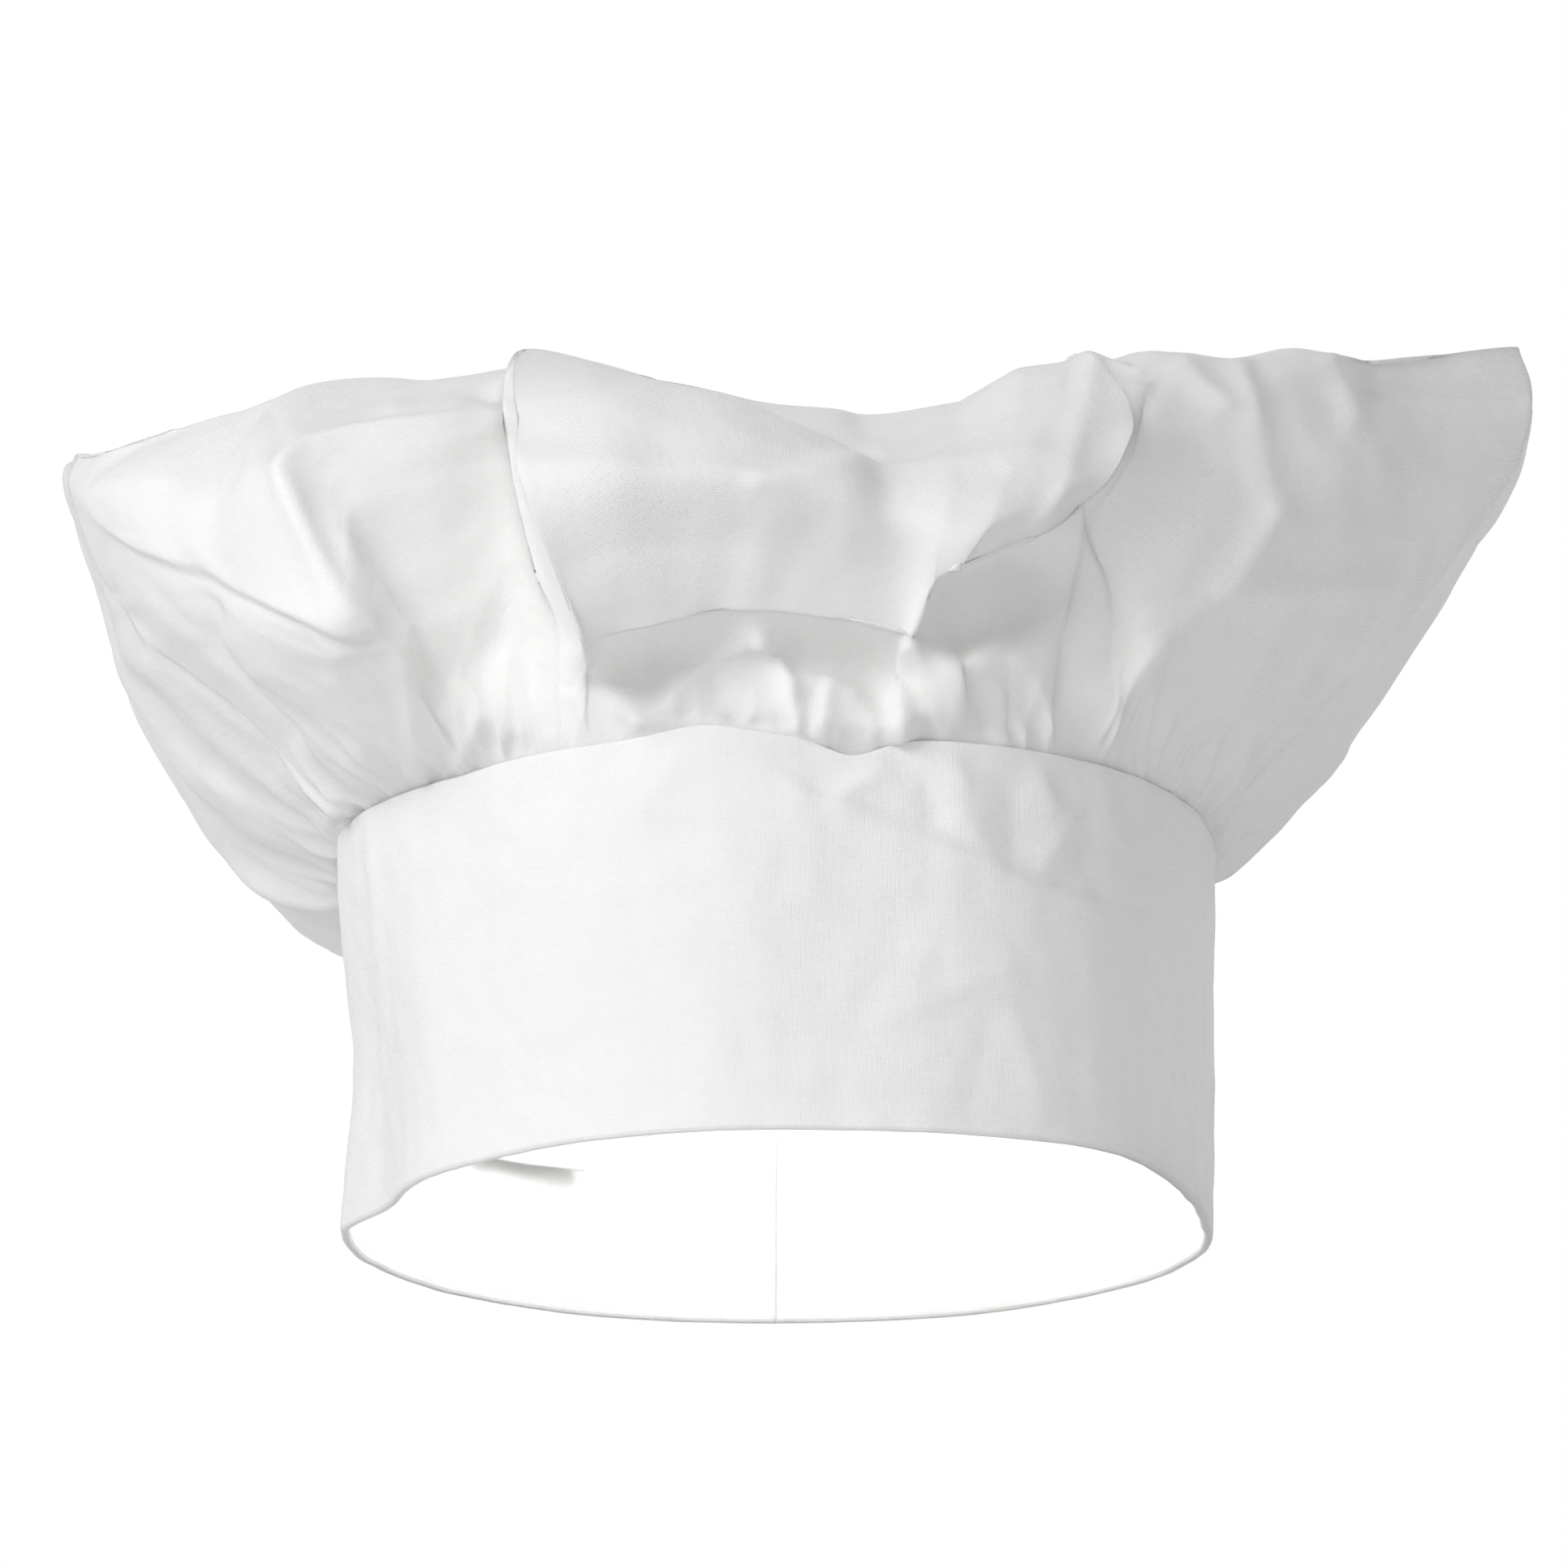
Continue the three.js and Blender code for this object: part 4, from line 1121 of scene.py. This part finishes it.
def on_back(arc, height, out):
    """Points outside the band: arc from the centre back, height, and distance out of the cloth."""
    arc, height, out = np.broadcast_arrays(*(np.asarray(v, float) for v in (arc, height, out)))
    return band_point(-arc / top_length, height, -out)


def back_sheet(name, arcs, heights, out, thickness, surface):
    """Cloth outside the band, from the grids of its outer side's arcs and heights."""
    pattern = np.stack([arcs, heights], -1)
    return add_sheet(name, on_back(arcs, heights, out), thickness, surface, pattern)


def tab_lift(arc):
    """Distance from the band out to the tab, which climbs from its sewn root onto the tapes."""
    return 0.1 + 1.6 * smooth(-6, 10, arc)


def tab_half_height(arc, inset=0.0):
    """Half the tab's height at an arc, less inset all round; its tip has round corners."""
    corner = TAB_CORNER - inset
    past = np.clip(arc - (TAB_TIP - TAB_CORNER), 0, corner)
    return 0.5 * TAB_HEIGHT - inset - corner + np.sqrt(np.maximum(corner**2 - past**2, 0))


def tab_bend():
    """The two bodies the tab joins, and the stretch beside its root over which it bends."""
    start, end = (on_back(TAB_ROOT + arc, TAB_MIDDLE, 0) * MM for arc in (2, 16))
    return "band", "closure_tab", tuple(start), tuple(end)


def tab():
    """Two layers turned right side out over a stiffener, pressed thin along the stitched edge."""
    straight = TAB_TIP - TAB_CORNER
    rounded = TAB_TIP - TAB_CORNER * (1 - np.cos(np.linspace(0, math.pi / 2, 26)))
    arcs = np.concatenate([rounded, np.linspace(straight, TAB_ROOT, 70)[1:]])
    across = np.linspace(-1, 1, 41)
    across = np.sign(across) * (1 - (1 - np.abs(across)) ** TAB_CROWDING)
    half = tab_half_height(arcs)[:, None]
    heights = TAB_MIDDLE + across[None, :] * half
    arcs = np.broadcast_to(arcs[:, None], heights.shape)
    from_side = half * (1 - np.abs(across))[None, :]
    edge = np.minimum(np.minimum(from_side, TAB_TIP - arcs), arcs - TAB_ROOT)
    fullness = np.sqrt(smooth(-0.6, TAB_ROLL, edge))
    groove = GROOVE_DEPTH * np.exp(-(((edge - EDGE_STITCH) / GROOVE_WIDTH) ** 2))
    thick = TAB_THICKNESS * (0.25 + 0.75 * fullness) - groove
    centre = tab_lift(arcs) + 0.5 * TAB_THICKNESS + 0.25 * wave_field(12, 40)(arcs, heights)
    piece = back_sheet("tab", arcs, heights, centre + 0.5 * thick, thick, poplin)
    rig.blend(piece, *tab_bend())
    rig.replaces(piece, "tab_outer", "tab_facing")


def tab_stiffener():
    arcs = np.linspace(TAB_TIP - 6, TAB_ROOT + 5, 50)
    heights = TAB_MIDDLE + np.linspace(-1, 1, 17)[None, :] * tab_half_height(arcs, 5.0)[:, None]
    arcs = np.broadcast_to(arcs[:, None], heights.shape)
    out = tab_lift(arcs) + 0.5 * TAB_THICKNESS + 0.15
    piece = back_sheet("tab_stiffener", arcs, heights, out, 0.3, stiffener)
    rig.blend(piece, *tab_bend())
    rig.replaces(piece, "tab_interfacing")


def tab_outline(inset):
    """The line of the tab's stitches, from the root along the bottom, round the tip and back."""
    corner = TAB_CORNER - inset
    low = TAB_MIDDLE - 0.5 * TAB_HEIGHT + inset
    bottom = [(TAB_ROOT + inset, low)]
    for turn in np.linspace(0, math.pi / 2, 12):
        arc = TAB_TIP - TAB_CORNER + corner * math.sin(turn)
        bottom.append((arc, low + corner * (1 - math.cos(turn))))
    top = [(arc, 2 * TAB_MIDDLE - height) for arc, height in reversed(bottom)]
    return np.array(bottom + top + [bottom[0]])


def along_back(line, lift):
    """A row that follows a line of arcs and heights on the back of the band, and its length."""
    stations = lengths_along(line)

    def place(distance, above):
        arc = np.interp(distance, stations, line[:, 0])
        height = np.interp(distance, stations, line[:, 1])
        return on_back(arc, height, lift(arc) + above)

    return place, stations[-1]


def tab_stitches():
    row, length = along_back(tab_outline(EDGE_STITCH), lambda arc: tab_lift(arc) + TAB_THICKNESS - 0.2)
    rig.blend(stitch_row("tab_stitches", row, length, "thread_tab_edge"), *tab_bend())


def loop_tuft(arc, height):
    """A soft loop that stands up from the tape and comes back down."""
    turn = random.uniform(0, math.pi)
    reach = random.uniform(0.3, 0.5)
    run = np.array([-1, -0.7, 0, 0.7, 1]) * reach
    up = LOOP_BASE + TAPE_THICKNESS + np.array([-0.05, 0.3, 0.45, 0.3, -0.05])
    return on_back(arc + run * math.cos(turn), height + run * math.sin(turn), up)


def hook_tuft(arc, height):
    """A stiff hook that points in at the band."""
    run = np.array([0, 0, 0.1, 0.3, 0.34])
    up = HOOK_BASE - np.array([-0.05, 0.25, 0.42, 0.36, 0.22])
    return on_back(arc + run, height, up)


def tape(name, arc_from, arc_to, base, body, tuft):
    """A strip of tape with its pile; tuft gives the path of the tuft at an arc and a height."""
    arcs = np.linspace(arc_to, arc_from, 60)
    heights = TAB_MIDDLE + np.linspace(-0.5, 0.5, 25) * TAPE_HEIGHT
    arcs, heights = np.meshgrid(arcs, heights, indexing="ij")
    strip = back_sheet(name, arcs, heights, base + TAPE_THICKNESS, TAPE_THICKNESS, woven_tape)
    reach = 0.5 * TAPE_HEIGHT - 1
    paths = []
    for arc in np.arange(arc_from + 1, arc_to - 1, TUFT_PITCH):
        for height in TAB_MIDDLE + np.arange(-reach, reach, TUFT_PITCH):
            arc_shift, height_shift = (random.uniform(-TUFT_SHIFT, TUFT_SHIFT) for _ in range(2))
            paths.append(tuft(arc + arc_shift, height + height_shift))
    pile = add_tubes(name + "_pile", paths, np.full(5, TUFT_RADIUS), woven_tape, sides=4)
    for piece in (strip, pile):
        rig.ride(piece, body)
    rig.replaces(strip, name)


def tapes():
    loops_from, loops_to = BAND_GAP + 3, TAB_TIP + 14
    tape("loop_tape", loops_from, loops_to, LOOP_BASE, "band", loop_tuft)
    tape("hook_tape", 12, TAB_TIP - 10, HOOK_BASE, "closure_tab", hook_tuft)
    half = 0.5 * TAPE_HEIGHT - 1.2
    low, high = TAB_MIDDLE - half, TAB_MIDDLE + half
    near, far = loops_from + 1, loops_to - 1
    line = np.array([(near, low), (far, low), (far, high), (near, high), (near, low)])
    row, length = along_back(line, lambda arc: LOOP_BASE + TAPE_THICKNESS)
    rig.ride(stitch_row("loop_tape_stitches", row, length, "thread_loop_tape"), "band")


# ---- care label ----

LABEL_WIDTH, LABEL_DROP, LABEL_TOP = 28.0, 42.0, 70.0
LABEL_ARC = -58.0
LABEL_FOLD = 0.45     # radius of the fold at its bottom
LABEL_STAND = 0.6     # from the band's inner face to the ribbon's back, at the stitches
LABEL_SWING = 2.4     # how much further away its bottom hangs


def label_path(count=60):
    """Down the ribbon's front, round its fold and up its back: depth inside the band, and height."""
    t = np.linspace(0, 1, count)

    def side(depth, shares):
        depths = INNER + depth + LABEL_SWING * shares**2
        return list(zip(depths, LABEL_TOP - (LABEL_DROP - 1) * shares))

    front = side(LABEL_STAND + 2 * LABEL_FOLD, t)
    deep, low = front[-1]
    turns = np.linspace(0, math.pi, 9)[1:-1]
    fold = [(deep - LABEL_FOLD * (1 - math.cos(a)), low - LABEL_FOLD * math.sin(a)) for a in turns]
    return np.array(front + fold + side(LABEL_STAND, t[::-1]))


def label():
    """A blank satin ribbon folded in half, which curls a little where it hangs free."""
    path = label_path()
    arcs = LABEL_ARC + np.linspace(-0.5, 0.5, 36) * LABEL_WIDTH
    arcs, depth = np.meshgrid(arcs, path[:, 0], indexing="ij")
    height = np.broadcast_to(path[:, 1], arcs.shape)
    free = smooth(LABEL_TOP, LABEL_TOP - LABEL_DROP, height)
    depth = depth + free * (0.5 * np.sin(arcs / 4.5) + 0.4)
    pattern = np.stack(np.broadcast_arrays(arcs, lengths_along(path)[None, :]), -1)
    piece = add_sheet("label", on_back(arcs, height, -depth), 0.14, satin, pattern)
    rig.ride(piece, "label")
    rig.replaces(piece, "care_label")


def label_stitches():
    reach = 0.5 * LABEL_WIDTH - 1.5
    level = LABEL_TOP - 2
    line = np.array([(LABEL_ARC - reach, level), (LABEL_ARC + reach, level)])
    row, length = along_back(line, lambda arc: -(INNER + 1.55))
    piece = stitch_row("label_stitches", lambda run, above: row(run, -above), length, "thread_label")
    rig.ride(piece, "label")


# ---- studio ----

WHITE = (1, 1, 1, 1)
FLOOR_COLOUR = (0.9, 0.9, 0.9, 1)
FLOOR_HALF = 6.0
FLOOR_DROP = 0.0006               # just below the hat, so that the two don't share a plane
LIGHT_DISTANCE = 1.6
LAMP_POWER, LAMP_RADIUS = 0.3, 0.03
DARKER_WAY = (0.4, 0.92, 0)       # towards the side where the surrounding light is weaker


def camera():
    data = bpy.data.cameras.new("camera")
    data.lens = data.sensor_width * VIEW_DISTANCE / VIEW_WIDTH
    data.clip_end = 10 * VIEW_DISTANCE
    eye = add_object("camera", data)
    towards = Vector(TOWARDS_CAMERA)
    eye.location = VIEW_CENTRE + VIEW_DISTANCE * towards
    eye.rotation_euler = (-towards).to_track_quat("-Z", "Y").to_euler()
    bpy.context.scene.camera = eye


def soft_light(name, azimuth, elevation, size, power):
    """A round soft light; azimuth 0 is in front of the forehead and turns towards +X."""
    data = bpy.data.lights.new(name, "AREA")
    data.shape = "DISK"
    data.size = size
    data.energy = power
    lamp = add_object(name, data)
    a, e = math.radians(azimuth), math.radians(elevation)
    place = Vector((math.sin(a) * math.cos(e), -math.cos(a) * math.cos(e), math.sin(e)))
    lamp.location = VIEW_CENTRE + LIGHT_DISTANCE * place
    lamp.rotation_euler = (-place).to_track_quat("-Z", "Y").to_euler()
    lamp.visible_camera = False


def inside_light():
    """A small lamp in the hollow that lights only the hat, so that the band's inside reads as white."""
    data = bpy.data.lights.new("inside", "POINT")
    data.shadow_soft_size = LAMP_RADIUS
    data.energy = LAMP_POWER
    lamp = add_object("inside", data)
    lamp.location = Vector((0, 0, BAND_HEIGHT * MM))
    lit = bpy.data.collections.new("lit_inside")
    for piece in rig.pieces():
        lit.objects.link(piece)
    lamp.light_linking.receiver_collection = lit


def world(front, back):
    """Soft white light, stronger from before the wearer's right than from behind the left.

    The camera sees plain white past the hat.
    """
    studio = bpy.data.worlds.new("studio")
    studio.use_nodes = True
    bpy.context.scene.world = studio
    tree = studio.node_tree
    way = node(tree, "TexCoord").outputs["Generated"]
    heading = node(tree, "VectorMath", {0: way, 1: DARKER_WAY}, operation="DOT_PRODUCT")
    lit = tree.nodes["Background"]
    strength = ranged(tree, heading.outputs["Value"], front, back, start=-1.0)
    feed(tree, lit, {"Color": WHITE, "Strength": strength})
    seen = node(tree, "Background", {"Color": WHITE})
    from_camera = node(tree, "LightPath").outputs["Is Camera Ray"]
    mix = node(tree, "MixShader", {0: from_camera, 1: lit.outputs[0], 2: seen.outputs[0]})
    feed(tree, tree.nodes["World Output"], {"Surface": mix.outputs[0]})


def floor():
    """A plain pale floor the hat stands on, clear to look through from below."""
    mesh = bpy.data.meshes.new("floor")
    signs = ((-1, -1), (1, -1), (1, 1), (-1, 1))
    corners = [(x * FLOOR_HALF, y * FLOOR_HALF, -FLOOR_DROP) for x, y in signs]
    mesh.from_pydata(corners, [], [(0, 1, 2, 3)])
    ground = add_object("floor", mesh)
    material, tree, bsdf = shader("floor")
    feed(tree, bsdf, {"Base Color": FLOOR_COLOUR, "Roughness": 0.9})
    clear = node(tree, "BsdfTransparent")
    below = node(tree, "NewGeometry").outputs["Backfacing"]
    mix = node(tree, "MixShader", {0: below, 1: bsdf.outputs[0], 2: clear.outputs[0]})
    feed(tree, tree.nodes["Material Output"], {"Surface": mix.outputs[0]})
    mesh.materials.append(material)
    ground.visible_shadow = False
    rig.stage(ground)


crown()
band()
interfacing()
band_stitches()
tab()
tab_stiffener()
tab_stitches()
tapes()
label()
label_stitches()
camera()
world(front=0.70, back=0.18)
soft_light("key", azimuth=-42, elevation=22, size=0.9, power=12)
soft_light("fill", azimuth=65, elevation=-5, size=1.6, power=1.4)
soft_light("back", azimuth=150, elevation=30, size=0.8, power=8)
inside_light()
floor()
bpy.context.scene.view_settings.view_transform = "Standard"

with open("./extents.json", "w") as report:
    boxes = {"cad": cad_box, "visual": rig.bounds()}
    json.dump({k: [[float(n) for n in corner] for corner in box] for k, box in boxes.items()}, report)
